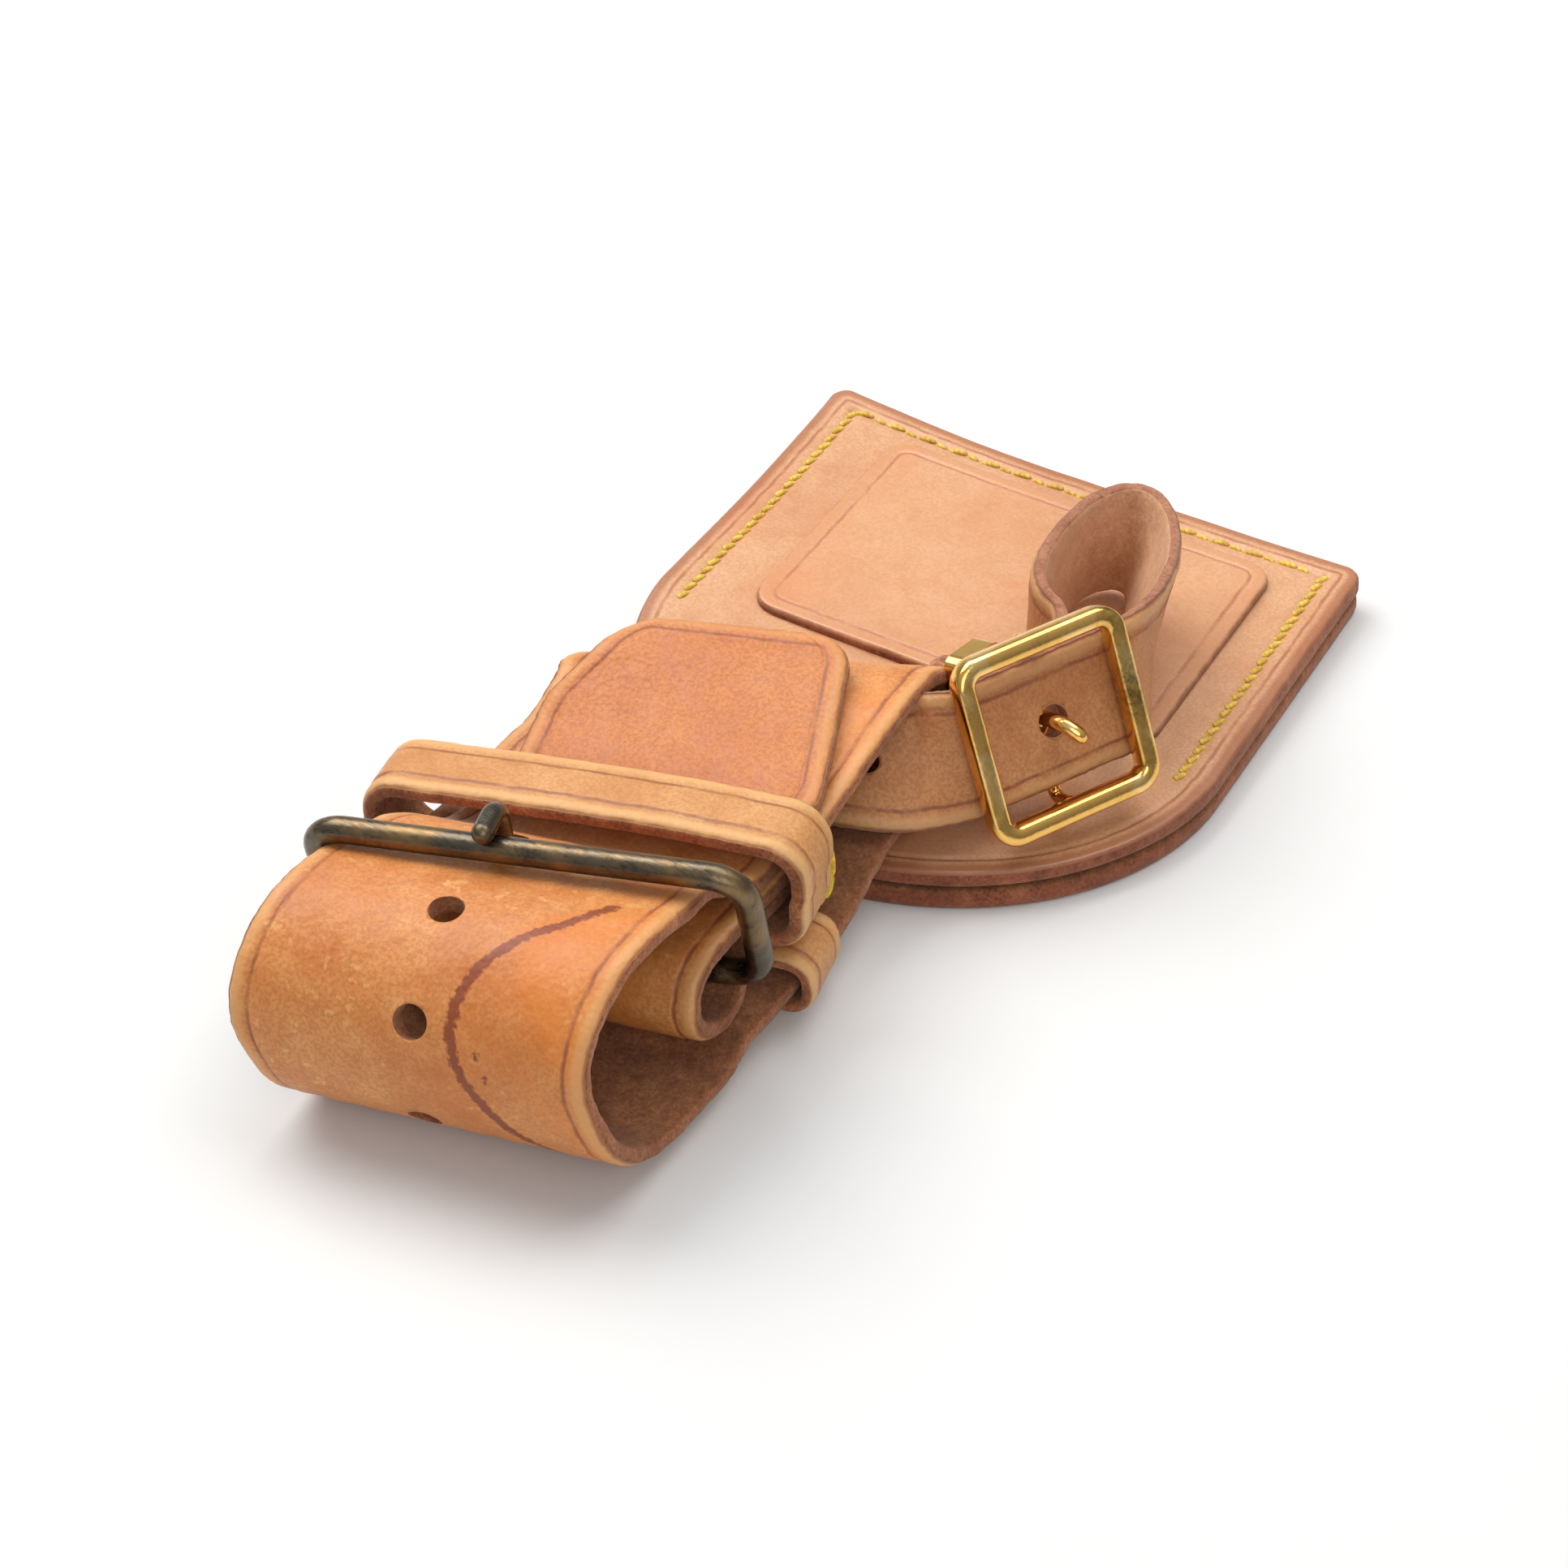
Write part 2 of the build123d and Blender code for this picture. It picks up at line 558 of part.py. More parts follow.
with BuildPart() as gold_buckle_frame:
    with BuildSketch(Plane(origin=SQUARE_CENTRE, x_dir=SQUARE_X,
                           z_dir=SQUARE_N).offset(-SQUARE_T / 2)):
        RectangleRounded(SQUARE_W, SQUARE_H, 3.0)
        RectangleRounded(SQUARE_W - 2 * SQUARE_BAR, SQUARE_H - 2 * SQUARE_BAR, 0.8,
                         mode=Mode.SUBTRACT)
    extrude(amount=SQUARE_T)
    chamfer(gold_buckle_frame.edges().filter_by(on_front_face), 0.55)
save(gold_buckle_frame, "gold_buckle_frame")

with BuildPart() as gold_pivot_bar:
    with BuildLine(Plane(origin=SQUARE_CENTRE, x_dir=SQUARE_Y, z_dir=SQUARE_X)) as bar_path:
        FilletPolyline((PIVOT_HALF_W, PIVOT_TOP), (PIVOT_HALF_W, PIVOT_Z),
                       (-PIVOT_HALF_W, PIVOT_Z), (-PIVOT_HALF_W, PIVOT_TOP), radius=1.1)
    with BuildSketch(start_plane(bar_path.wire())):
        Circle(PIVOT_R)
    sweep(path=bar_path.wire())
save(gold_pivot_bar, "gold_pivot_bar")

# prong: eye round the pivot bar, shank forward through the frame
EYE_PLANE = Plane(origin=square_point(0, 0, PIVOT_Z), x_dir=SQUARE_X, z_dir=SQUARE_Y)
with BuildPart() as gold_prong:
    with BuildSketch(EYE_PLANE):
        Circle(1.35)
    extrude(amount=1.1, both=True)
    with BuildLine(Plane(origin=SQUARE_CENTRE, x_dir=SQUARE_X,
                         z_dir=SQUARE_X.cross(SQUARE_N))) as shank_path:
        FilletPolyline((0.15, PIVOT_Z + 0.6), (0.5, -1.2), (2.2, 1.9), radius=2.0)
    with BuildSketch(start_plane(shank_path.wire())):
        Circle(0.8)
    sweep(path=shank_path.wire())
    with BuildSketch(EYE_PLANE):
        Circle(PIVOT_R + 0.07)
    extrude(amount=5, both=True, mode=Mode.SUBTRACT)
save(gold_prong, "gold_prong")

# flat metal keeper on the rear run, just behind the buckle
i = KEEPER_STATION
keeper_centre = CENTRES[i] * 0.5 + CENTRES[i + 1] * 0.5
keeper_width = blend(WIDTHS[i], WIDTHS[i + 1], 0.5)
keeper_heading = square_off((CENTRES[i + 1] - CENTRES[i]).normalized(), keeper_width)
with BuildPart() as gold_keeper:
    with BuildSketch(Plane(origin=keeper_centre - keeper_heading * 0.9, x_dir=keeper_width,
                           z_dir=keeper_heading)):
        with Locations((0.1, 1.5)):
            RectangleRounded(16.9, 6.7, 1.5)
            RectangleRounded(15.2, 5.4, 0.8, mode=Mode.SUBTRACT)
    extrude(amount=2.6)
save(gold_keeper, "gold_keeper")
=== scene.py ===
# A leather luggage-handle strap with a name-tag pocket hung from it by a narrow strap.
# The floor is z = 0.  The pocket lies flat round the world origin, its rounded mouth end
# towards -y.  The wide strap is folded nearer the camera, at -y, and runs away along +y.
# Lengths are in millimetres; make_object turns them into metres.
import bpy
import bmesh
import math
import random
import numpy as np
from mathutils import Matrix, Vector, noise


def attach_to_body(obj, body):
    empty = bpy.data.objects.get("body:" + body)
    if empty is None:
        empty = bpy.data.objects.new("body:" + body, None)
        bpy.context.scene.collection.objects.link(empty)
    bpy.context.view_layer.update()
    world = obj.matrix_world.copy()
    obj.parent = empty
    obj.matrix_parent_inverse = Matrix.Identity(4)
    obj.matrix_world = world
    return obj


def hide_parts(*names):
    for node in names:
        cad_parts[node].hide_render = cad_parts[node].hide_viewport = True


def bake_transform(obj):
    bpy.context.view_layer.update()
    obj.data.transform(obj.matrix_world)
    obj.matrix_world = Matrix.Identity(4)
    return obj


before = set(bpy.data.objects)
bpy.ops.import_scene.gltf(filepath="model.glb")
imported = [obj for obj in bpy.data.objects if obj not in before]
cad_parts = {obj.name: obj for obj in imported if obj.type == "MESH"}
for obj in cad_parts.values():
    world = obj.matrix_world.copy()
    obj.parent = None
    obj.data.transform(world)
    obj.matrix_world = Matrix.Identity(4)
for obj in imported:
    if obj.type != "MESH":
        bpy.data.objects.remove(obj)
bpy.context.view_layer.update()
random.seed(7)
rng = np.random.default_rng(7)
MM = 0.001


# ================================================================== VECTORS AND FRAMES
def unit(v):
    return v / np.linalg.norm(v)


def blend(a, b, t):
    return unit(a * (1 - t) + b * t)


def clamp01(value):
    return max(0.0, min(1.0, value))


def noise3(x, y, z):
    return noise.noise(Vector((x, y, z)))


WORLD_UP = np.array([0.0, 0.0, 1.0])

# Wide strap: ACROSS is close to +x, ALONG close to +y, UP close to +z.
STRAP_TURN = math.radians(-3.0)
STRAP_ROLL = math.radians(3.0)
STRAP_SKEW = math.radians(12.0)
ACROSS = np.array([math.cos(STRAP_TURN) * math.cos(STRAP_ROLL),
                   math.sin(STRAP_TURN) * math.cos(STRAP_ROLL),
                   math.sin(STRAP_ROLL)])
ALONG = np.array([-math.sin(STRAP_TURN), math.cos(STRAP_TURN), 0.0])
UP = np.cross(ACROSS, ALONG)
STRAP_ORIGIN = np.array([-9.9, -75.0, 1.15])
# The band's folds are skewed: these two directions follow them.
SKEW_SLOPE = math.tan(STRAP_SKEW)
SKEW_ACROSS = ACROSS * math.cos(STRAP_SKEW) + ALONG * math.sin(STRAP_SKEW)
SKEW_ALONG = ALONG * math.cos(STRAP_SKEW) - ACROSS * math.sin(STRAP_SKEW)


def strap_point(across, along, up):
    return STRAP_ORIGIN + ACROSS * across + ALONG * along + UP * up


def skew_point(across, along, up):
    return STRAP_ORIGIN + SKEW_ACROSS * across + SKEW_ALONG * along + UP * up


# Square buckle: x runs along the narrow strap, y across it, z out of its visible face.
BUCKLE_X = unit(np.array([0.52, 0.85, 0.07]))
BUCKLE_Z = np.array([0.75, -0.50, 0.43])
BUCKLE_Z = unit(BUCKLE_Z - BUCKLE_X * BUCKLE_Z.dot(BUCKLE_X))
BUCKLE_Y = np.cross(BUCKLE_Z, BUCKLE_X)
BUCKLE_CENTRE = np.array([21.7, -13.6, 17.5])


def buckle_point(x, y, z):
    return BUCKLE_CENTRE + BUCKLE_X * x + BUCKLE_Y * y + BUCKLE_Z * z


# ================================================================== SHADER NODES
class Nodes:
    """Short calls that add shader nodes to a tree; textures use self.coords by default."""

    def __init__(self, tree, space="Object"):
        self.tree = tree
        self.coords = self.add("ShaderNodeTexCoord").outputs[space]

    def add(self, kind, **settings):
        node = self.tree.nodes.new(kind)
        for key, value in settings.items():
            setattr(node, key, value)
        return node

    def put(self, socket, value):
        """Links a socket, or stores a plain value."""
        if isinstance(value, bpy.types.NodeSocket):
            self.tree.links.new(value, socket)
        else:
            socket.default_value = value

    def noise(self, scale, detail=4.0, rough=0.55, warp=0.0, coords=None):
        node = self.add("ShaderNodeTexNoise")
        self.put(node.inputs["Vector"], coords or self.coords)
        self.put(node.inputs["Scale"], scale)
        self.put(node.inputs["Detail"], detail)
        self.put(node.inputs["Roughness"], rough)
        self.put(node.inputs["Distortion"], warp)
        return node.outputs["Fac"]

    def voronoi(self, scale):
        node = self.add("ShaderNodeTexVoronoi", feature="F1")
        self.put(node.inputs["Vector"], self.coords)
        self.put(node.inputs["Scale"], scale)
        return node.outputs["Distance"]

    def ramp(self, factor, stops):
        """stops: (position, linear RGB)."""
        node = self.add("ShaderNodeValToRGB")
        elements = node.color_ramp.elements
        while len(elements) < len(stops):
            elements.new(0.5)
        for element, (position, colour) in zip(elements, stops):
            element.position = position
            element.color = (*colour, 1)
        self.put(node.inputs["Fac"], factor)
        return node.outputs["Color"]

    def remap(self, value, span, to=(0.0, 1.0)):
        """Smooth step of value over span, scaled to the range `to`."""
        node = self.add("ShaderNodeMapRange")
        node.interpolation_type = "SMOOTHSTEP"
        self.put(node.inputs["Value"], value)
        self.put(node.inputs["From Min"], span[0])
        self.put(node.inputs["From Max"], span[1])
        self.put(node.inputs["To Min"], to[0])
        self.put(node.inputs["To Max"], to[1])
        return node.outputs["Result"]

    def math(self, operation, *values):
        node = self.add("ShaderNodeMath", operation=operation)
        for socket, value in zip(node.inputs, values):
            self.put(socket, value)
        return node.outputs[0]

    def times(self, a, b):
        return self.math("MULTIPLY", a, b)

    def plus(self, a, b):
        return self.math("ADD", a, b)

    def minus(self, a, b):
        return self.math("SUBTRACT", a, b)

    def ragged(self, value, texture, amount):
        """Shifts a value by a centred noise texture."""
        return self.plus(value, self.times(self.minus(texture, 0.5), amount))

    def mix(self, a, b, mask, strength=None):
        """Colour a turning into b where the mask is high."""
        if strength is not None:
            mask = self.times(mask, strength)
        node = self.add("ShaderNodeMix", data_type="RGBA", blend_type="MIX")
        self.put(node.inputs[0], mask)
        for index, colour in ((6, a), (7, b)):
            self.put(node.inputs[index], (*colour, 1) if isinstance(colour, tuple) else colour)
        return node.outputs[2]

    def attribute(self, name):
        return self.add("ShaderNodeAttribute", attribute_name=name).outputs["Fac"]

    def finish(self, colour, roughness, inputs, bump=None):
        """Principled surface and output; bump is (height, strength, distance in metres)."""
        surface = self.add("ShaderNodeBsdfPrincipled")
        self.put(surface.inputs["Base Color"], colour)
        self.put(surface.inputs["Roughness"], roughness)
        for key, value in inputs.items():
            self.put(surface.inputs[key], value)
        if bump:
            node = self.add("ShaderNodeBump")
            height, strength, distance = bump
            self.put(node.inputs["Strength"], strength)
            self.put(node.inputs["Distance"], distance)
            self.put(node.inputs["Height"], height)
            self.put(surface.inputs["Normal"], node.outputs["Normal"])
        output = self.add("ShaderNodeOutputMaterial")
        self.put(output.inputs["Surface"], surface.outputs["BSDF"])


def new_material(name):
    material = bpy.data.materials.new(name)
    material.use_nodes = True
    material.node_tree.nodes.clear()
    return material, Nodes(material.node_tree)


def linear(rgb):
    """8-bit sRGB to linear."""
    scaled = [c / 255 for c in rgb]
    return tuple(c / 12.92 if c <= 0.04045 else ((c + 0.055) / 1.055) ** 2.4 for c in scaled)


def toned(rgb, tone):
    """tone: gain, gamma, tint."""
    gain, gamma, tint = tone
    return tuple(gain * c ** gamma * t for c, t in zip(linear(rgb), tint))


# ================================================================== MATERIALS
def leather(name, tone, base, light, dark, bevel_tone_and_highlight, grain, rough, specular=0.42,
            mottle=1.0, fleck=0.0, blotch=None, crease=(128, 66, 44)):
    """Grain side: mottled colour, fine pores, a creased line beside each edge, and a tinted bevel
    band that is painted highlight where its colour is paler than the base and the real edge tone
    where it is darker.

    The mesh gives "edge", the distance from the rim in mm, and "mark", the stain mask."""
    base, light, dark = (toned(c, tone) for c in (base, light, dark))
    material, s = new_material(name)
    coarse = s.noise(scale=70, detail=3, rough=0.6, warp=0.3)
    mid = s.noise(scale=330, detail=5, rough=0.65, warp=0.2)
    fine = s.noise(scale=1500, detail=3, rough=0.6)
    colour = s.ramp(coarse, [(0.30, dark), (0.50, base), (0.72, light)])
    mottling = s.ramp(mid, [(0.30, dark), (0.52, base), (0.70, light)])
    colour = s.mix(colour, mottling, mask=0.42 * mottle)
    pits = s.remap(s.noise(scale=2600, detail=2, rough=0.6), span=(0.40, 0.62),
                   to=(0.0, 0.30 + 0.1 * grain))
    pit_colour = tuple(c * 0.74 for c in dark)
    colour = s.mix(colour, pit_colour, mask=pits)
    if fleck:
        flecks = s.noise(scale=900, detail=2, rough=0.5)
        patches = s.remap(s.noise(scale=120, detail=3, rough=0.6), span=(0.45, 0.62))
        flecks = s.times(s.remap(flecks, span=(0.60, 0.68)), patches)
        colour = s.mix(colour, light, mask=flecks, strength=fleck)
    if blotch:
        blotches = s.remap(s.noise(scale=38, detail=4, rough=0.6, warp=0.6), span=(0.50, 0.68))
        colour = s.mix(colour, toned(blotch, tone), mask=blotches, strength=0.55)
    edge = s.attribute("edge")
    edge = s.ragged(edge, s.noise(scale=420, detail=3), amount=0.55)
    # bevel band: painted highlight where its colour is paler than the base, real edge tone where it
    # is darker
    bevel = s.remap(edge, span=(1.7, 0.9))
    colour = s.mix(colour, toned(bevel_tone_and_highlight, tone), mask=bevel, strength=0.65)
    # the line runs 2.05 mm in from the rim and fades in places
    line = s.remap(s.math("ABSOLUTE", s.minus(edge, 2.05)), span=(0.34, 0.05))
    breaks = s.remap(s.noise(scale=260, detail=3), span=(0.34, 0.55), to=(0.45, 1.0))
    colour = s.mix(colour, linear(crease), mask=s.times(line, breaks), strength=0.72)
    rim = s.remap(edge, span=(0.34, 0.02))
    colour = s.mix(colour, linear((132, 78, 52)), mask=rim, strength=0.8)
    mark = s.attribute("mark")
    mark = s.ragged(mark, s.noise(scale=1700, detail=2), amount=1.1)
    stained = s.remap(mark, span=(0.36, 0.70))
    colour = s.mix(colour, linear((120, 50, 28)), mask=stained, strength=0.85)
    roughness = s.remap(mid, span=(0.3, 0.7), to=(rough - 0.07, rough + 0.10))
    # relief weights: fine grain, pores, mottling
    height = s.plus(s.times(fine, 0.5), s.times(s.voronoi(scale=1400), 0.7))
    height = s.plus(height, s.times(mid, 0.8))
    s.finish(colour, roughness, {"Specular IOR Level": specular},
             bump=(height, 0.35 * grain, 0.00022))
    return material


def suede(name, base, light, dark, relief=1.0):
    """Flesh side and raw cut edges: fibrous, matt."""
    base, light, dark = linear(base), linear(light), linear(dark)
    material, s = new_material(name)
    coarse = s.noise(scale=420, detail=5, rough=0.7, warp=0.4)
    fine = s.noise(scale=2600, detail=3, rough=0.7)
    patches = s.noise(scale=90, detail=3, rough=0.5)
    fibres = s.plus(s.times(coarse, 0.5), s.times(fine, 0.5))
    colour = s.ramp(fibres, [(0.36, dark), (0.50, base), (0.64, light)])
    colour = s.mix(colour, dark, mask=s.remap(patches, span=(0.4, 0.65), to=(0.0, 0.35)))
    inputs = {"Specular IOR Level": 0.15, "Sheen Weight": 0.25, "Sheen Roughness": 0.6,
              "Sheen Tint": (1.0, 0.75, 0.55, 1)}
    s.finish(colour, 0.92, inputs, bump=(fibres, 0.8 * relief, 0.0004))
    return material


def metal(name, base, worn, tarnish, rough, tarnish_amount, wear=(0.5, 0.6)):
    """Scratched metal; wear is the noise span over which base turns to worn.

    The mesh may add tarnish with a "tarnish" attribute."""
    material, s = new_material(name)
    broad = s.noise(scale=160, detail=5, rough=0.6, warp=0.4)
    fine = s.noise(scale=1400, detail=4, rough=0.7)
    stretch = s.add("ShaderNodeMapping")
    s.put(stretch.inputs["Scale"], (1, 9, 1))
    s.put(stretch.inputs["Vector"], s.coords)
    scratches = s.noise(scale=700, detail=3, rough=0.6, coords=stretch.outputs["Vector"])
    colour = s.mix(linear(base), linear(worn), mask=s.remap(broad, span=wear))
    spots = s.remap(s.noise(scale=260, detail=6, rough=0.75, warp=0.5), span=(0.50, 0.66))
    spots = s.times(spots, s.remap(fine, span=(0.35, 0.6)))
    placed = s.attribute("tarnish")
    overall = s.plus(s.times(spots, tarnish_amount),
                     s.times(placed, s.remap(fine, span=(0.35, 0.62), to=(0.25, 1.0))))
    colour = s.mix(colour, linear(tarnish), mask=overall, strength=1.0)
    roughness = s.plus(s.remap(scratches, span=(0.3, 0.7), to=(rough * 0.7, rough * 1.4)),
                       s.remap(broad, span=(0.4, 0.7), to=(0.0, 0.08)))
    s.finish(colour, roughness, {"Metallic": 1.0},
             bump=(s.plus(fine, scratches), 0.12, 0.00012))
    return material


def thread(name, base, dark):
    """Twisted thread with diagonal bands."""
    base, dark = linear(base), linear(dark)
    material, s = new_material(name)
    twist = s.add("ShaderNodeTexWave", wave_type="BANDS", bands_direction="DIAGONAL")
    s.put(twist.inputs["Scale"], 900)
    s.put(twist.inputs["Distortion"], 1.5)
    s.put(twist.inputs["Vector"], s.coords)
    bands = twist.outputs["Fac"]
    uneven = s.remap(s.noise(scale=900, detail=4), span=(0.35, 0.65))
    colour = s.mix(dark, base, mask=uneven)
    colour = s.mix(colour, dark, mask=bands, strength=0.25)
    s.finish(colour, 0.55, {}, bump=(bands, 0.5, 0.00015))
    return material


def window_film():
    material, s = new_material("window_film")
    haze = s.remap(s.noise(scale=200, detail=3), span=(0.3, 0.7), to=(0.06, 0.2))
    s.finish((0.9, 0.92, 0.92, 1), haze, {"Transmission Weight": 0.9, "IOR": 1.3})
    return material


STRAP_TONE = (0.93, 1.15, (1.0, 0.96, 0.80))
TAG_TONE = (0.87, 1.04, (1.0, 0.96, 0.90))
NARROW_TONE = (0.86, 1.10, (1.0, 0.97, 0.85))

# Bevel colours paler than the base (wide strap, flap, keepers, narrow strap) are painted highlight;
# the darker bevel colours of the tag and pad are their real edge tone.
M_STRAP = leather(
    "strap_grain", STRAP_TONE, base=(216, 152, 98), light=(228, 178, 128), dark=(197, 121, 66),
    bevel_tone_and_highlight=(222, 174, 126), blotch=(222, 138, 62), grain=0.9, rough=0.46, fleck=0.7)
M_FLAP = leather(
    "flap_grain", STRAP_TONE, base=(208, 136, 82), light=(218, 156, 104), dark=(190, 112, 60),
    bevel_tone_and_highlight=(216, 160, 110), grain=1.3, rough=0.45, fleck=0.25)
M_KEEPER = leather(
    "keeper_grain", STRAP_TONE, base=(214, 163, 115), light=(224, 180, 136),
    dark=(200, 140, 90), bevel_tone_and_highlight=(226, 186, 140), grain=0.8, rough=0.47)
M_TAG = leather(
    "tag_grain", TAG_TONE, base=(222, 172, 132), light=(228, 182, 144), dark=(206, 148, 110),
    bevel_tone_and_highlight=(160, 94, 64), blotch=(214, 148, 108), crease=(156, 88, 60),
    grain=0.35, rough=0.36, mottle=0.7, specular=0.5)
M_PAD = leather(
    "pad_grain", TAG_TONE, base=(224, 172, 132), light=(227, 178, 140), dark=(216, 160, 120),
    bevel_tone_and_highlight=(216, 158, 118), blotch=(220, 150, 106), crease=(170, 100, 72),
    grain=0.25, rough=0.27, mottle=0.4, specular=0.55)
M_NARROW = leather(
    "narrow_grain", NARROW_TONE, base=(206, 146, 100), light=(216, 162, 118),
    dark=(182, 116, 70), bevel_tone_and_highlight=(218, 172, 128), crease=(120, 58, 40),
    grain=1.1, rough=0.5, specular=0.35)
M_FLESH = suede("flesh_side", base=(140, 88, 56), light=(172, 116, 78), dark=(98, 58, 36))
M_CUT = suede("cut_edge", base=(150, 88, 54), light=(184, 122, 82), dark=(108, 56, 34))
M_NARROW_FLESH = suede("narrow_flesh", base=(206, 158, 122), light=(222, 178, 142),
                       dark=(184, 134, 98), relief=0.6)
M_PAINTED = suede("painted_edge", base=(158, 104, 80), light=(184, 130, 100),
                  dark=(126, 78, 58), relief=0.6)
M_BURNISHED = suede("burnished_edge", base=(142, 78, 54), light=(170, 104, 74),
                    dark=(98, 48, 34), relief=0.6)
M_CARD = suede("card_stock", base=(236, 231, 220), light=(243, 239, 230),
               dark=(226, 220, 208), relief=0.1)
M_BRONZE = metal("dark_bronze", base=(96, 88, 76), worn=(134, 110, 78), tarnish=(52, 48, 44),
                 rough=0.30, tarnish_amount=0.7, wear=(0.42, 0.66))
M_BRASS = metal("polished_brass", base=(240, 190, 104), worn=(248, 208, 134),
                tarnish=(98, 78, 44), rough=0.11, tarnish_amount=0.18)
M_THREAD = thread("waxed_thread", base=(232, 200, 84), dark=(198, 158, 58))
M_BRIGHT_THREAD = thread("bright_thread", base=(238, 204, 24), dark=(188, 148, 12))
M_FILM = window_film()

# Material slots of every band and plate
TOP, UNDER, WALL = 0, 1, 2


# ================================================================== MESH HELPERS
def make_object(name, points, faces, materials, slots=None, smooth=True, attributes=None,
                uv=None):
    mesh = bpy.data.meshes.new(name)
    mesh.from_pydata([tuple(p) for p in np.asarray(points, float) * MM], [],
                     [tuple(int(i) for i in face) for face in faces])
    for material in materials:
        mesh.materials.append(material)
    if slots is not None:
        mesh.polygons.foreach_set("material_index", np.asarray(slots, np.int32))
    if smooth:
        mesh.polygons.foreach_set("use_smooth", [True] * len(mesh.polygons))
    for key, values in (attributes or {}).items():
        attribute = mesh.attributes.new(key, "FLOAT", "POINT")
        attribute.data.foreach_set("value", np.asarray(values, np.float32))
    if uv is not None:
        layer = mesh.uv_layers.new(name="UVMap")
        corners = np.zeros(len(mesh.loops), np.int32)
        mesh.loops.foreach_get("vertex_index", corners)
        layer.data.foreach_set("uv", np.asarray(uv, np.float32)[corners].ravel())
    mesh.validate()
    mesh.update()
    obj = bpy.data.objects.new(name, mesh)
    bpy.context.scene.collection.objects.link(obj)
    return obj


def settle(obj, merge=False):
    """Turns all faces outward, first merging coincident vertices if asked."""
    bm = bmesh.new()
    bm.from_mesh(obj.data)
    if merge:
        bmesh.ops.remove_doubles(bm, verts=bm.verts, dist=1e-6)
    bmesh.ops.recalc_face_normals(bm, faces=bm.faces)
    bm.to_mesh(obj.data)
    bm.free()


def attach(obj, body, node=None):
    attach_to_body(obj, body)
    if node:
        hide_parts(node)


def grid_faces(rows, size, closed=False, base=0):
    """Quads of a tube made of rings of `size` points; closed joins the last ring to the first."""
    faces = []
    for i in range(rows if closed else rows - 1):
        here = base + i * size
        there = base + (i + 1) % rows * size
        for j in range(size):
            after = (j + 1) % size
            faces.append((here + j, there + j, there + after, here + after))
    return faces


def relaxed(values, passes):
    """Smooths rows against their neighbours; both ends stay."""
    values = values.copy()
    for _ in range(passes):
        values[1:-1] = values[1:-1] * 0.5 + (values[:-2] + values[2:]) * 0.25
    return values


def arc_lengths(points):
    return np.concatenate([[0], np.cumsum(np.linalg.norm(np.diff(points, axis=0), axis=1))])


def round_off(distance, radius):
    """How far a quarter-round border drops at this distance inside it."""
    if distance >= radius:
        return 0.0
    return radius * (1 - math.sqrt(max(0.0, 1 - (1 - distance / radius) ** 2)))


def fillet_path(points, radii, step):
    """Rounds a polyline in its first two columns; the other columns are carried along."""
    points = [np.array(p, float) for p in points]
    path = [points[0]]

    def straight(start, end):
        count = max(1, int(round(np.linalg.norm((end - start)[:2]) / step)))
        for i in range(1, count + 1):
            path.append(start + (end - start) * i / count)

    current = points[0]
    for corner, following, radius in zip(points[1:-1], points[2:], radii):
        before = points[len(points) - 1]
        before = previous_of(points, corner)
        inward = unit((corner - before)[:2])
        outward = unit((following - corner)[:2])
        turn = math.atan2(inward[0] * outward[1] - inward[1] * outward[0], inward @ outward)
        tangent = radius * math.tan(abs(turn) / 2)
        start, end = corner.copy(), corner.copy()
        start[:2] = corner[:2] - inward * tangent
        end[:2] = corner[:2] + outward * tangent
        straight(current, start)
        side = 1 if turn > 0 else -1
        centre = start[:2] + np.array([-inward[1], inward[0]]) * side * radius
        count = max(2, int(round(radius * abs(turn) / step)))
        first = math.atan2(start[1] - centre[1], start[0] - centre[0])
        for j in range(1, count + 1):
            angle = first + turn * (j / count)
            point = corner.copy()
            point[:2] = centre + radius * np.array([math.cos(angle), math.sin(angle)])
            path.append(point)
        current = end
    straight(current, points[-1])
    return np.array(path)


def previous_of(points, corner):
    """The point just before this one in the list."""
    index = next(i for i, point in enumerate(points) if point is corner)
    return points[index - 1]


# Side of a band section; the value is the sign in which insets from that edge run.
LEFT, RIGHT = 1, -1
# Cut walls of ribbons and keepers: (height as a share of half thickness, outward bulge)
RIBBON_WALL = [(0.45, 0.07), (0.0, 0.10), (-0.45, 0.08), (-0.8, 0.02)]
KEEPER_WALL = [(0.45, 0.06), (0.0, 0.09), (-0.45, 0.07), (-0.8, 0.0)]
# Insets of the section points near the edges of the under side
RIBBON_UNDER = [0.08, 0.4, 1.0, 2.4]
KEEPER_UNDER = [0.1, 0.5, 1.4]


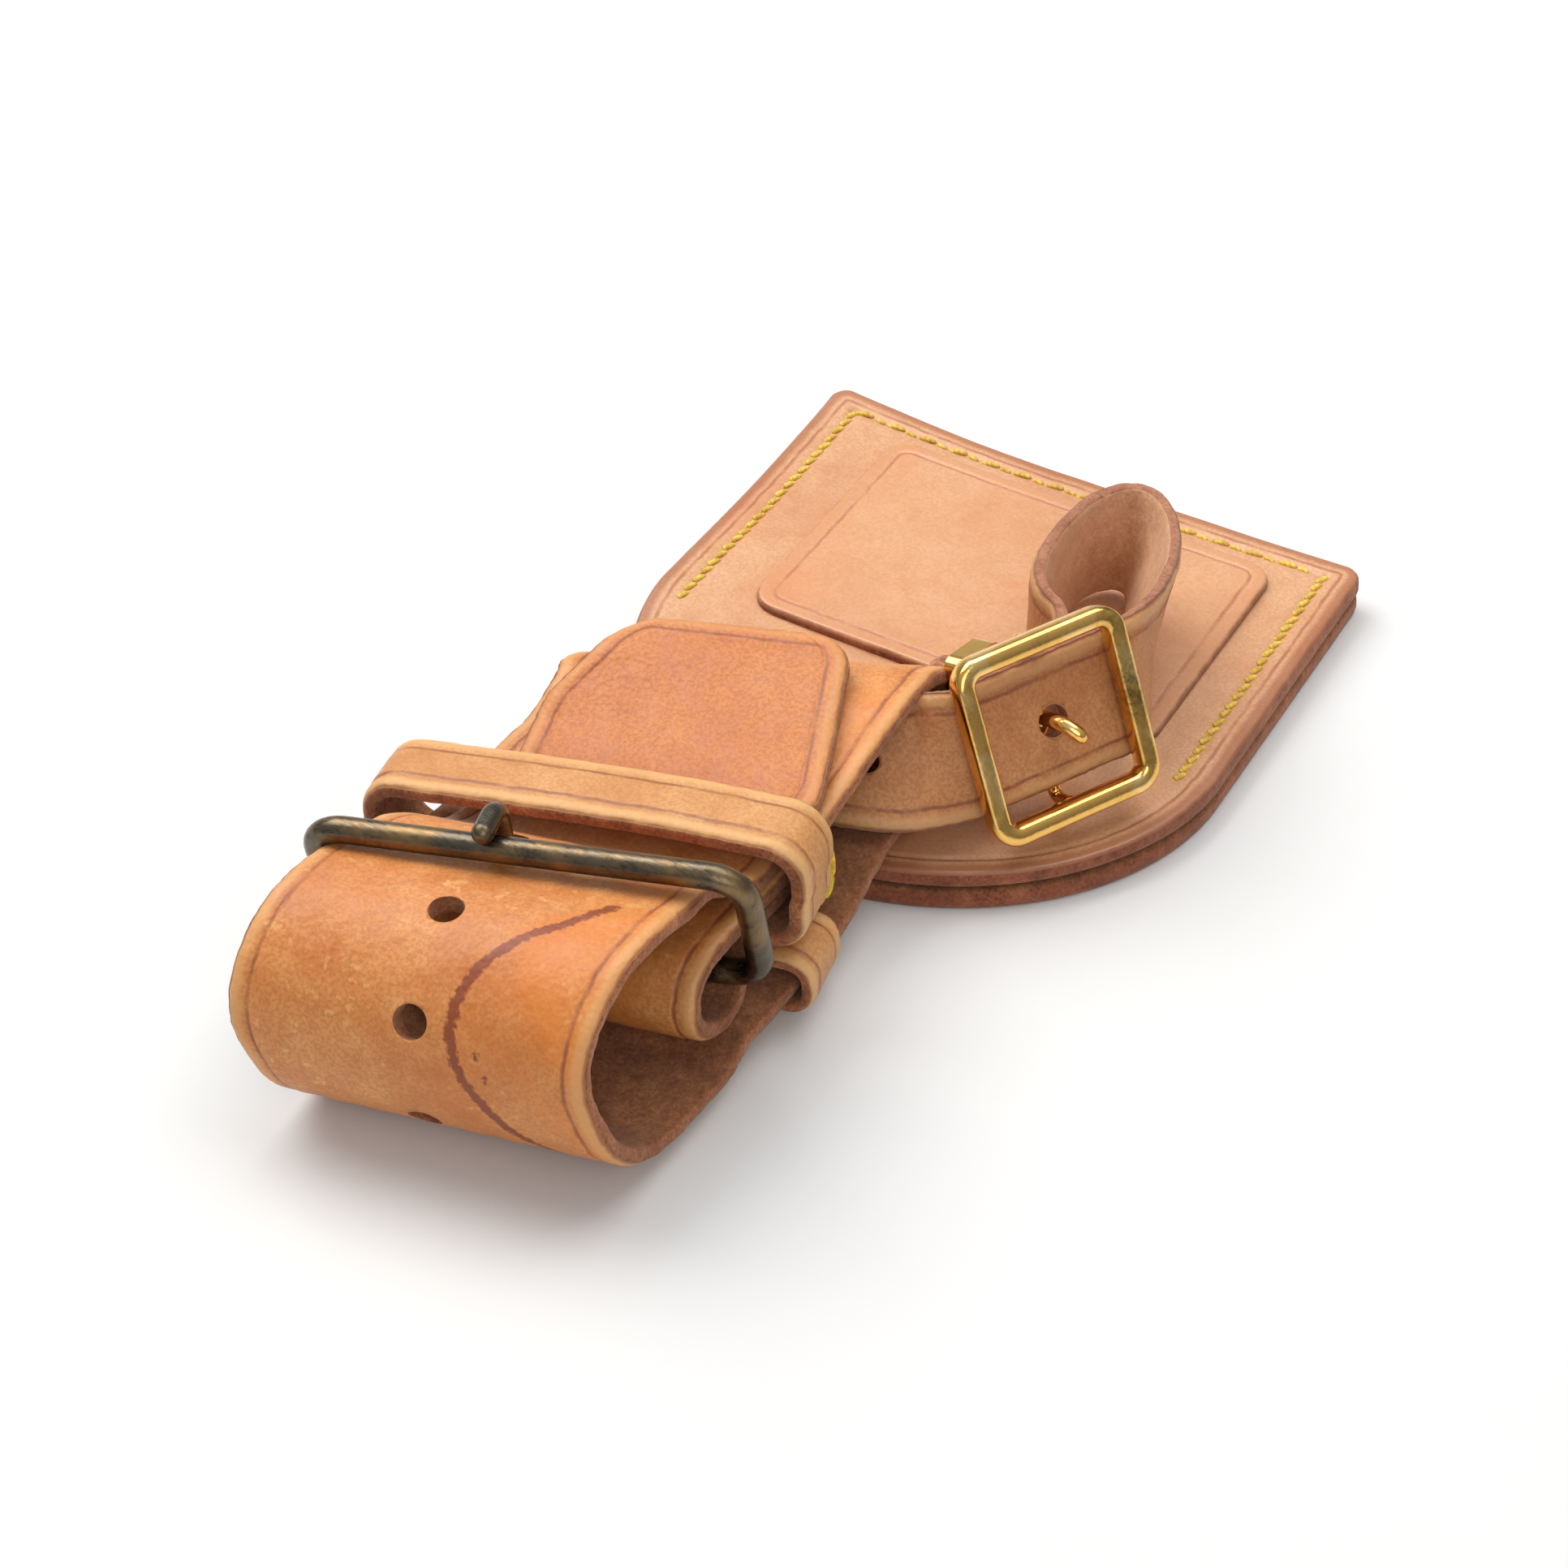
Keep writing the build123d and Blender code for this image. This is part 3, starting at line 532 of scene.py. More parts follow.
def band_section(span, thickness, groove, groove_depth, bevel, count, under, wall):
    """Closed section of a band, as (side, inset, height, edge distance, slot, sway).

    It runs over the top from the left, down the right wall and back underneath.  groove is
    the crease's inset, sway the share of the edge's wander that the point follows."""
    half = thickness / 2
    insets = [0.0, 0.10, 0.22, 0.42, 0.75, 1.2, groove - 0.42, groove - 0.2, groove,
              groove + 0.2, groove + 0.45, groove + 1.0]

    def shoulder(side, d):
        z = half
        if d < bevel * 2.4:
            z -= bevel * (1 - d / (bevel * 2.4)) ** 2 * 1.5
        z -= groove_depth * math.exp(-((d - groove) / 0.17) ** 2)
        if d < groove:
            z -= 0.05
        return (side, d, z, d, TOP, max(0, 1 - d / 2))

    def core(first, last, height, slot):
        return [(LEFT, d, height, min(d, span - d), slot, 0)
                for d in np.linspace(first, last, count)[1:-1]]

    def below(side, d):
        return (side, d, -half + (0.10 if d < 0.2 else 0), d, UNDER, 0)

    section = [shoulder(LEFT, d) for d in insets]
    section += core(insets[-1], span - insets[-1], half, TOP)
    section += [shoulder(RIGHT, d) for d in reversed(insets)]
    section += [(RIGHT, -bulge, share * half, 0.0, WALL, 1) for share, bulge in wall]
    section += [below(RIGHT, d) for d in under]
    section += core(span - under[-1], under[-1], -half, UNDER)
    section += [below(LEFT, d) for d in reversed(under)]
    section += [(LEFT, -bulge, share * half, 0.0, WALL, 1) for share, bulge in reversed(wall)]
    return section


def face_slots(slots, strips):
    """A face between two points of one slot takes it; all others belong to the wall."""
    ring = [a if a == b else WALL for a, b in zip(slots, slots[1:] + slots[:1])]
    return ring * strips


def ribbon(name, centres, across, normals, left, right, thickness, materials, rough, groove,
           groove_depth, count, seed, bevel=0.32, mark=None):
    """Open band along centres; left and right are signed width limits for each row."""
    arc = arc_lengths(centres)
    points, edges, marks, uvs = [], [], [], []
    for i, run in enumerate(arc):
        from_end = min(run, arc[-1] - run)
        # the last half millimetre thins to 55 per cent
        squeeze = 0.55 + 0.45 * (1 - round_off(from_end, 0.5) / 0.5)
        limits = {LEFT: left[i], RIGHT: right[i]}
        wander = {side: 0.10 * noise3(run * 0.9, seed, slow) + 0.05 * noise3(run * 3.1, seed, fast)
                  for side, slow, fast in ((LEFT, 3.1, 7.7), (RIGHT, 13.1, 17.7))}
        section = band_section(right[i] - left[i], thickness, groove, groove_depth, bevel,
                               count, RIBBON_UNDER, RIBBON_WALL)
        for side, inset, height, edge, slot, sway in section:
            w = limits[side] + side * inset + wander[side] * sway
            if slot == WALL:
                share = height / (thickness / 2)
                w += 0.05 * noise3(run * 4, share * 3, seed + (9 if side == LEFT else 4))
            amount = rough if slot == TOP else rough * 1.6
            z = height * squeeze + amount * noise3(run * 0.35, w * 0.35, seed)
            z += 0.35 * amount * noise3(run * 1.7, w * 1.7, seed + 5)
            points.append(centres[i] + across[i] * w + normals[i] * z)
            edges.append(min(edge, max(0.0, from_end)))
            uvs.append((run / 50.0, w / 50.0))
            marks.append(mark(run, w) if mark and slot == TOP else 0.0)
    size = len(section)
    faces = grid_faces(len(arc), size)
    slots = face_slots([entry[4] for entry in section], len(arc) - 1)
    # each end is closed by strips from its top points to the ones underneath
    for start, flip in ((0, False), ((len(arc) - 1) * size, True)):
        low, high = start, start + size - 1
        while high - low > 1:
            face = (low, low + 1, high)
            if high - low > 2:
                face = (low, low + 1, high - 1, high)
            faces.append(face[::-1] if flip else face)
            slots.append(WALL)
            low += 1
            high -= 1
    obj = make_object(name, points, faces, materials, slots,
                      attributes={"edge": edges, "mark": marks}, uv=uvs)
    settle(obj)
    return obj


def cutter(near_ring, far_ring, material):
    count = len(near_ring)
    faces = [(i, (i + 1) % count, count + (i + 1) % count, count + i) for i in range(count)]
    faces += [tuple(reversed(range(count))), tuple(range(count, 2 * count))]
    return make_object("cutter", near_ring + far_ring, faces, [material], smooth=False)


def rod_cutter(centre, axis, radius, length, stretch=1.0, stretch_axis=None):
    """Cylinder along axis, widened by stretch along stretch_axis."""
    axis = unit(axis)
    x = np.cross(axis, [0.3, 0.5, 0.8]) if stretch_axis is None else stretch_axis
    x = unit(x - axis * x.dot(axis))
    y = np.cross(axis, x)
    rings = []
    for end in (-0.5, 0.5):
        rings.append([centre + axis * length * end + x * radius * stretch * math.cos(a)
                      + y * radius * math.sin(a)
                      for a in (2 * math.pi * i / 40 for i in range(40))])
    return cutter(rings[0], rings[1], M_CUT)


def slab_cutter(x0, x1, y0, y1, z0, z1, radius, material):
    """Upright slab with rounded corners."""
    outline = []
    for cx, cy, start in ((x1 - radius, y0 + radius, -90), (x1 - radius, y1 - radius, 0),
                          (x0 + radius, y1 - radius, 90), (x0 + radius, y0 + radius, 180)):
        for i in range(9):
            a = math.radians(start + 90 * i / 8)
            outline.append((cx + radius * math.cos(a), cy + radius * math.sin(a)))
    return cutter([(x, y, z0) for x, y in outline], [(x, y, z1) for x, y in outline], material)


def cut(obj, cutters):
    """Punches holes; their walls take the cutter's material."""
    for tool in cutters:
        modifier = obj.modifiers.new("hole", "BOOLEAN")
        modifier.operation = "DIFFERENCE"
        modifier.object = tool
        modifier.solver = "EXACT"
        modifier.material_mode = "TRANSFER"
        bpy.context.view_layer.objects.active = obj
        with bpy.context.temp_override(object=obj, active_object=obj, selected_objects=[obj]):
            bpy.ops.object.modifier_apply(modifier=modifier.name)
        bpy.data.objects.remove(tool)


def tube(name, path, radius, material, sides, closed=False):
    """Round tube; radius is one number or one for each point.  Open ends are rounded."""
    path = np.asarray(path, float)
    count = len(path)
    radii = np.ones(count) * radius
    tangents = []
    for i in range(count):
        before = path[(i - 1) % count] if closed or i > 0 else path[i]
        after = path[(i + 1) % count] if closed or i < count - 1 else path[i]
        tangents.append(unit(after - before))
    up = unit(np.cross(tangents[0], [0.2, 0.3, 0.9]))
    points = []
    for centre, tangent, r in zip(path, tangents, radii):
        up = unit(up - tangent * up.dot(tangent))
        side = np.cross(tangent, up)
        for k in range(sides):
            a = 2 * math.pi * k / sides
            points.append(centre + r * (up * math.cos(a) + side * math.sin(a)))
    faces = grid_faces(count, sides, closed)
    if not closed:
        for end, sign in ((0, -1), (count - 1, 1)):
            base = end * sides
            reach = tangents[end] * sign * radii[end]
            previous = [base + k for k in range(sides)]
            for share in (0.5, 0.85):
                angle = share * math.pi / 2
                centre = path[end] + reach * math.sin(angle) * 0.9
                ring = []
                for k in range(sides):
                    points.append(centre + (points[base + k] - path[end]) * math.cos(angle))
                    ring.append(len(points) - 1)
                for k in range(sides):
                    after = (k + 1) % sides
                    face = (previous[k], previous[after], ring[after], ring[k])
                    faces.append(face if sign > 0 else face[::-1])
                previous = ring
            points.append(path[end] + reach * 0.9)
            for k in range(sides):
                face = (previous[k], previous[(k + 1) % sides], len(points) - 1)
                faces.append(face if sign > 0 else face[::-1])
    obj = make_object(name, points, faces, [material])
    settle(obj)
    return obj


# ================================================================== WIDE HANDLE STRAP
LOOP_RADIUS = 11.1
LOOP_CENTRE_ALONG = 1.3
LOOP_CENTRE_UP = 12.1
# Corners of the folded band: along, up, skew slope, sideways shift
STRAP_PATH = [
    (31.4, 11.9, SKEW_SLOPE, 0.0), (20.0, 11.9, SKEW_SLOPE, 0.0), (15.9, 4.7, SKEW_SLOPE, 0.3),
    (8.5, 4.7, SKEW_SLOPE, 0.5), (8.5, 14.0, SKEW_SLOPE, 0.3), (22.0, 14.0, SKEW_SLOPE * 0.5, 0.0),
    (30.0, 14.0, 0.10, 0.0), (46.6, 19.0, 0.30, 0), (56.3, 19.8, 0.46, 0), (56.3, 6.4, 0.46, 0.6),
    (42.0, 6.0, 0.28, 1.2), (33.0, 2.5, 0.12, 1.5), (15.4, 2.5, SKEW_SLOPE * 0.5, 1.8),
    (10.0, 1.0, SKEW_SLOPE, 1.9), (-10.0, 1.0, SKEW_SLOPE, 1.7), (-10.0, 23.2, SKEW_SLOPE, -0.2),
    (4.7, 23.2, SKEW_SLOPE, -0.3), (9.8, 21.95, SKEW_SLOPE, -0.3), (13.5, 21.95, SKEW_SLOPE, -0.2),
    (20.65, 16.06, SKEW_SLOPE, 0.0), (27.4, 16.06, SKEW_SLOPE, 0.0),
]
# Fillet radius at each inner corner
STRAP_RADII = [2.7, 2.7, 4.65, 4.64, 12, 12, 12, 6.65, 6.65, 12, 12, 8, 8, 11.08, 11.08, 8, 8, 5, 4]

strap_path = fillet_path(STRAP_PATH, STRAP_RADII, 0.55)
for column, passes in ((2, 14), (3, 70)):
    strap_path[:, column] = relaxed(strap_path[:, column], passes)
strap_path[:, :2] = relaxed(strap_path, 3)[:, :2]
strap_arc = arc_lengths(strap_path[:, :2])
# Arc lengths at the loop's front-most line and at the fold farthest back
FRONT_ARC = strap_arc[int(np.argmin(strap_path[:, 0]))]
BACK_ARC = strap_arc[int(np.argmax(strap_path[:, 0]))]


def strap_rows(path):
    """Centres, width directions and grain-side normals along a strap path."""
    centres, across, normals = [], [], []
    for i, (along, up, skew, shift) in enumerate(path):
        step = path[min(i + 1, len(path) - 1)] - path[max(i - 1, 0)]
        width = ACROSS + ALONG * skew
        tangent = ALONG * step[0] + UP * step[1]
        centres.append(strap_point(shift, along + skew * shift, up))
        across.append(width)
        normals.append(unit(np.cross(unit(width), unit(tangent))))
    return np.array(centres), np.array(across), np.array(normals)


def strap_limits(arc, along, up):
    """Signed left and right width limits of the wide strap."""
    left, right = -18.1, 17.7
    if arc < BACK_ARC - 12:
        left, right = -18.0, 17.2
        if 18 < along < 36 and up > 9:
            left = -19.6
    elif arc < FRONT_ARC - 55:
        left, right = -18.6, 17.0
    if arc > FRONT_ARC + 22:
        taper = min(1.0, (arc - FRONT_ARC - 22) / 24)
        left, right = -18.1 + 3.2 * taper, 17.7 - 1.0 * taper
    return left, right


def loop_arc(degrees):
    """Arc length from the loop's front-most line (180 degrees), positive towards the top."""
    return (180 - degrees) / 180 * math.pi * LOOP_RADIUS


# Stain line on the front loop: across, angle round the loop in degrees
STAIN_POINTS = [
    (9.6, 66), (7.4, 82), (4.6, 97), (2.5, 113), (1.6, 131), (1.7, 149), (2.5, 163), (3.3, 174),
    (4.6, 190), (6.6, 208), (9.4, 224), (12.6, 236),
]
STAIN_SHIFT = 2.7
STAIN_WIDTH = 1.05
STAIN_LINE = np.array([(loop_arc(angle), w + STAIN_SHIFT) for w, angle in STAIN_POINTS])
STAIN_STEPS = np.diff(STAIN_LINE, axis=0)
# Specks beside it: arc from the front-most line, across, radius
SPECKS = [(loop_arc(156), 7.2, 0.46), (loop_arc(167), 7.9, 0.38)]


def stain(arc, across):
    x = arc - FRONT_ARC
    if abs(x) > 30:
        return 0.0
    point = np.array([x, across])
    share = ((point - STAIN_LINE[:-1]) * STAIN_STEPS).sum(1) / (STAIN_STEPS ** 2).sum(1)
    nearest = STAIN_LINE[:-1] + STAIN_STEPS * np.clip(share, 0, 1)[:, None]
    distance = np.sqrt(((point - nearest) ** 2).sum(1)).min()
    value = max(0.0, 1.05 - distance / STAIN_WIDTH)
    for speck_x, speck_across, radius in SPECKS:
        reach = math.hypot(x - speck_x, across - speck_across) / (radius * 1.6)
        value = max(value, 1.15 * max(0.0, 1 - reach))
    return value


def wide_strap():
    centres, across, normals = strap_rows(strap_path)
    limits = np.array([strap_limits(arc, row[0], row[1])
                       for arc, row in zip(strap_arc, strap_path)])
    limits = relaxed(limits, 30)
    # slight sag so the band is not a perfect sheet
    for i, arc in enumerate(strap_arc):
        centres[i] += normals[i] * 0.15 * noise3(arc * 0.05, 2.2, 0.4)
    strap = ribbon("handle_strap_leather", centres, across, normals, limits[:, 0], limits[:, 1],
                   2.0, [M_STRAP, M_FLESH, M_CUT], rough=0.10, groove=2.1, groove_depth=0.16,
                   count=76, seed=1.3, mark=stain)
    holes = []
    for degrees in (94, 150, 212):
        a = math.radians(degrees)
        centre = skew_point(-1.5, LOOP_CENTRE_ALONG + LOOP_RADIUS * math.cos(a),
                            LOOP_CENTRE_UP + LOOP_RADIUS * math.sin(a))
        axis = SKEW_ALONG * math.cos(a) + UP * math.sin(a)
        holes.append(rod_cutter(centre, axis, radius=1.75, length=5.0))
    # prong passage through the top run and the layer under it
    holes.append(rod_cutter(skew_point(-1.0, 12.8, 21.9), UP, radius=2.0, length=9,
                            stretch=1.5, stretch_axis=SKEW_ALONG))
    holes.append(rod_cutter(skew_point(-1.0, 13.2, 13.8), UP, radius=1.9, length=4.4,
                            stretch=1.4, stretch_axis=SKEW_ALONG))
    cut(strap, holes)
    attach(strap, "wide_strap", "handle_strap")


wide_strap()

# ------------------------------------------------------------------ tip flap
# Same columns as STRAP_PATH
TIP_PATH = [
    (25.4, 16.06, SKEW_SLOPE, 0.0), (29.7, 16.06, SKEW_SLOPE * 0.6, 0), (35.2, 17.65, 0.03, 0),
    (48.8, 21.7, 0.32, 0), (53.6, 22.5, 0.335, 0),
]
TIP_RADII = [6, 20, 20]
TIP_RIGHT = 16.5
TIP_CORNER = 4.6


def tip_flap():
    path = relaxed(fillet_path(TIP_PATH, TIP_RADII, 0.5), 3)
    centres, across, normals = strap_rows(path)
    arc = arc_lengths(centres_plane(path))
    left, right = [], []
    for i, (along, _, skew, _) in enumerate(path):
        # the right side is cut on a slant; its limit also moves the point along the skew
        limit = TIP_RIGHT
        for _ in range(12):
            limit = TIP_RIGHT - 0.396 * max(0.0, along + skew * limit - 37.5)
        corner = round_off(arc[-1] - arc[i], TIP_CORNER)
        left.append(-15.0 - 1.7 * clamp01((along - 30) / 6)
                    + 2.7 * clamp01((along - 40) / 12) + corner)
        right.append(limit - corner)
        if along > 40:
            centres[i] += UP * (0.25 * ((along - 40) / 17) ** 2)
    tip = ribbon("tip_flap_leather", centres, across, normals, left, right, 1.9,
                 [M_FLAP, M_FLESH, M_CUT], rough=0.09, groove=2.3, groove_depth=0.16,
                 count=26, seed=5.1)
    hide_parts("strap_tip")
    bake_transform(tip)


def centres_plane(path):
    """The along and up columns of a strap path."""
    return path[:, :2]


tip_flap()


# ------------------------------------------------------------------ leather keepers
def keeper(name, body, node, start, length, across, up, thickness, corner, wave, seed,
           bulge=0.0, tilt=0.0):
    """Closed leather band round the strap; across and up are its inner limits."""
    half = thickness / 2
    x0, x1 = across[0] - half, across[1] + half
    y0, y1 = up[0] - half, up[1] + half
    middle = ((x0 + x1) / 2, y0)
    loop = fillet_path([middle, (x1, y0), (x1, y1), (x0, y1), (x0, y0), middle],
                       [corner + half] * 4, 0.6)[:-1]
    section = band_section(length, thickness, groove=1.75, groove_depth=0.13, bevel=0.32,
                           count=8, under=KEEPER_UNDER, wall=KEEPER_WALL)
    limits = {LEFT: -length / 2, RIGHT: length / 2}
    points, edges = [], []
    for i, (x, y) in enumerate(loop):
        tangent = unit(loop[(i + 1) % len(loop)] - loop[i - 1])
        normal = unit(SKEW_ACROSS * tangent[1] - UP * tangent[0])
        share = (x - sum(across) / 2) / ((across[1] - across[0]) / 2)
        along = start + length / 2 + wave * math.sin(share * 2.2 + seed)
        if y > sum(up) / 2:
            along += tilt * share
            y += bulge * (1 - share * share)
        else:
            along -= tilt * 0.3 * share
        centre = skew_point(x, along, y)
        for side, inset, height, edge, _, _ in section:
            w = limits[side] + side * inset
            z = height + 0.07 * noise3(centre[0] * 0.3, centre[2] * 0.3 + w * 0.3, seed)
            if edge < 1:
                w += 0.10 * noise3(centre[0] * 0.8, centre[2] * 0.8, seed + 3)
            points.append(centre + SKEW_ALONG * w + normal * z)
            edges.append(edge)
    obj = make_object(name, points, grid_faces(len(loop), len(section), closed=True),
                      [M_KEEPER, M_FLESH, M_CUT],
                      face_slots([entry[4] for entry in section], len(loop)),
                      attributes={"edge": edges, "mark": [0.0] * len(points)})
    settle(obj)
    attach(obj, body, node)


keeper("top_keeper_leather", "wide_strap", "top_keeper", start=20.3, length=8.2,
       across=(-18.8, 24.8), up=(10.5, 19.2), thickness=1.9, corner=2.4, wave=0.35, seed=0.4,
       bulge=0.5, tilt=0.7)
keeper("lower_keeper_leather", "lower_loop", "lower_keeper", start=21.0, length=8.6,
       across=(-15.0, 25.5), up=(1.38, 5.65), thickness=1.4, corner=1.5, wave=0.2, seed=2.4)


def keeper_threads():
    """Two heavy thread rings round the strap's right edge."""
    rings = []
    for k, offset in enumerate((0.0, 1.2)):
        path = []
        for j in range(28):
            a = 2 * math.pi * j / 28
            x = math.cos(a) * (1 if math.cos(a) > 0 else 1.4)
            path.append(strap_point(17.7 + 1.05 * x, 33.7 + offset + 0.3 * math.sin(a * 2),
                                    11.4 + 3.3 * math.sin(a)))
        rings.append(tube("keeper_thread_%d" % k, path, 0.52, M_BRIGHT_THREAD, 12, closed=True))
    attach(rings[0], "wide_strap", "keeper_stitches")
    attach(rings[1], "wide_strap")


keeper_threads()

# ================================================================== NARROW STRAP
TAIL = np.array([0, 0.75, 0.661])
LEAN = unit(np.array([0.26, 0.145, 1.0]))
NARROW_HALF_WIDTH = 6.95
NARROW_STEP = 0.5
ENTRY = (8.6, -12.0, 12.9)      # where the inner run starts to narrow and sink
# Stations: centre, width direction
NARROW_STATIONS = [
    ((-3.4, -26.5, 14.7), TAIL),
    ((1.6, -26.3, 14.75), TAIL),
    ((5.6, -25.7, 14.85), TAIL),
    ((8.8, -24.45, 14.85), blend(TAIL, BUCKLE_Y, 0.03)),
    ((10.4, -23.3, 14.95), blend(TAIL, BUCKLE_Y, 0.15)),
    ((12.4, -22.0, 15.3), blend(TAIL, BUCKLE_Y, 0.6)),
    (buckle_point(-9.4, 0, -2.6), BUCKLE_Y),
    (buckle_point(-5.0, 0, -2.6), BUCKLE_Y),
    (buckle_point(0.0, 0, -2.45), BUCKLE_Y),
    (buckle_point(5.0, 0, -2.6), BUCKLE_Y),
    (buckle_point(9.6, 0, -2.6), BUCKLE_Y),
    ((25.0, 0.2, 16.6), blend(BUCKLE_Y, LEAN, 0.3)),
    ((23.5, 6.0, 15.9), blend(BUCKLE_Y, LEAN, 0.7)),
    ((20.9, 13.0, 15.2), LEAN),
    ((18.3, 19.0, 14.8), LEAN),
    ((16.4, 22.3, 14.6), blend(LEAN, WORLD_UP, 0.2)),
    ((14.2, 24.2, 14.5), blend(LEAN, WORLD_UP, 0.4)),
    ((11.9, 24.2, 14.4), blend(LEAN, WORLD_UP, 0.6)),
    ((10.0, 22.4, 14.3), blend(LEAN, WORLD_UP, 0.7)),
    ((8.9, 19.3, 14.2), blend(LEAN, WORLD_UP, 0.8)),
    ((8.6, 15.0, 14.1), blend(LEAN, WORLD_UP, 0.9)),
    ((8.9, 10.4, 14.0), WORLD_UP),
    ((9.8, 6.6, 14.0), WORLD_UP),
    ((11.3, 3.8, 14.1), WORLD_UP),
    ((13.4, 2.0, 14.2), blend(BUCKLE_Y, WORLD_UP, 0.85)),
    ((15.6, 0.6, 14.3), blend(BUCKLE_Y, WORLD_UP, 0.6)),
    ((17.4, -1.4, 14.5), blend(BUCKLE_Y, WORLD_UP, 0.4)),
    ((18.4, -3.8, 14.7), blend(BUCKLE_Y, WORLD_UP, 0.2)),
    (buckle_point(4.5, 0, -6.9), BUCKLE_Y),
    (buckle_point(0.0, 0, -6.75), BUCKLE_Y),
    (buckle_point(-4.6, 0, -6.9), blend(BUCKLE_Y, WORLD_UP, 0.15)),
    ((11.3, -13.6, 13.5), blend(BUCKLE_Y, WORLD_UP, 0.75)),
    (ENTRY, WORLD_UP),
    ((5.0, -11.0, 12.5), WORLD_UP),
    ((1.0, -10.5, 12.4), WORLD_UP),
    ((-2.5, -10.2, 12.3), WORLD_UP),
    ((-6.5, -10.2, 12.3), WORLD_UP),
]


def catmull(stations, step):
    """Catmull-Rom curve through the stations, with their width directions."""
    rows = np.array([[*point, *direction] for point, direction in stations])
    before, after = rows[0].copy(), rows[-1].copy()
    before[:3] = 2 * rows[0, :3] - rows[1, :3]
    after[:3] = 2 * rows[-1, :3] - rows[-2, :3]
    rows = np.vstack([before, rows, after])
    curve = []
    for i in range(1, len(rows) - 2):
        p0, p1, p2, p3 = rows[i - 1:i + 3]
        count = max(2, int(round(np.linalg.norm((p2 - p1)[:3]) / step)))
        for k in range(count):
            t = k / count
            curve.append(0.5 * ((2 * p1) + (-p0 + p2) * t
                                + (2 * p0 - 5 * p1 + 4 * p2 - p3) * t * t
                                + (-p0 + 3 * p1 - 3 * p2 + p3) * t ** 3))
    curve.append(rows[-2])
    curve = np.array(curve)
    return curve[:, :3], np.array([unit(direction) for direction in curve[:, 3:]])


def nearest_row(points, target):
    return int(np.argmin(np.linalg.norm(points - np.array(target), axis=1)))


def narrow_strap():
    centres, widths = catmull(NARROW_STATIONS, NARROW_STEP)
    centres = relaxed(centres, 4)
    tangents = [unit(t) for t in np.gradient(centres, axis=0)]
    # the grain side faces out of the square buckle
    normals = np.array([unit(np.cross(t, w)) for t, w in zip(tangents, widths)])
    across = np.array([unit(np.cross(n, t)) for n, t in zip(normals, tangents)])
    rows_past = np.arange(len(centres)) - nearest_row(centres, ENTRY)
    sink = np.clip(rows_past * NARROW_STEP / 8.0, 0.0, 1.0)
    sink = sink * sink * (3 - 2 * sink)
    half_width = NARROW_HALF_WIDTH - 3.3 * sink
    centres = centres - WORLD_UP * 3.6 * sink[:, None]
    strap = ribbon("narrow_strap_leather", centres, across, normals, -half_width, half_width,
                   1.75, [M_NARROW, M_NARROW_FLESH, M_PAINTED], rough=0.08, groove=1.75,
                   groove_depth=0.14, count=14, seed=9.3)
    tail = nearest_row(centres, (6.0, -25.6, 14.85))
    cut(strap, [rod_cutter(buckle_point(0.6, 0, -2.5), BUCKLE_Z, radius=1.75, length=4.0),
                rod_cutter(centres[tail], normals[tail], radius=1.2, length=4.0)])
    attach(strap, "narrow_strap", "tag_strap")


def narrow_strap_end():
    """Turned-down end in the slot of the front panel."""
    rows = 11
    centres = np.array([[-6.2 + 0.7 * i, -10.2, 5.6] for i in range(rows)])
    end = ribbon("narrow_strap_end", centres, np.tile(WORLD_UP, (rows, 1)),
                 np.tile(np.array([0, -1.0, 0]), (rows, 1)), np.full(rows, -1.15),
                 np.full(rows, 1.15), 1.7, [M_NARROW, M_NARROW_FLESH, M_PAINTED], rough=0.04,
                 groove=0.6, groove_depth=0.0, count=5, seed=3.3, bevel=0.1)
    attach(end, "narrow_strap")


# Prong centre line in the square buckle's frame: it stands through the hole and bends over
PRONG_POINTS = [
    (0.3, 0.2, -3.4), (0.45, 0.1, -2.0), (0.6, 0.0, -1.0), (0.95, -0.3, -0.1),
    (1.4, -0.9, 0.5), (1.8, -1.5, 0.8), (2.05, -1.95, 0.95),
]


def square_prong():
    corners = [buckle_point(*point) for point in PRONG_POINTS]
    path = [a + (b - a) * k / 6 for a, b in zip(corners, corners[1:]) for k in range(6)]
    path = relaxed(np.array(path + [corners[-1]]), 8)
    radii = np.concatenate([np.full(len(path) - 6, 0.82), np.linspace(0.82, 0.74, 6)])
    prong = tube("square_prong_brass", path, radii, M_BRASS, 20)
    attach(prong, "square_buckle_prong", "gold_prong")
    eye = tube("square_prong_eye", [buckle_point(0, -1.05 + 0.35 * i, -4.35) for i in range(7)],
               np.array([1.2, 1.34, 1.36, 1.36, 1.36, 1.34, 1.2]), M_BRASS, 24)
    attach(eye, "square_buckle_prong")


narrow_strap()
narrow_strap_end()
square_prong()

# ================================================================== TAG POCKET
HALF_WIDTH = 34.8
SIDE_Y = 2.0            # the straight sides start here; nearer, the outline is half an ellipse
FAR_Y = 44.2
NEAR_Y = -30.8
FAR_CORNER = 2.4
FRONT_TOP = 5.0
STITCH_X = 31.0
STITCH_FAR_Y = 41.0
STITCH_NEAR_Y = -1.0


def curl(x, y):
    """Lift of the pocket towards its left side and far left corner."""
    side = 2.3 * max(0.0, (HALF_WIDTH - x) / (2 * HALF_WIDTH)) ** 1.6
    fade = clamp01((y + 22) / 24)
    corner = max(0.0, (-x - 5) / 30) * max(0.0, (y - 15) / 29)
    return side * fade * fade * (3 - 2 * fade) + 1.6 * corner * corner


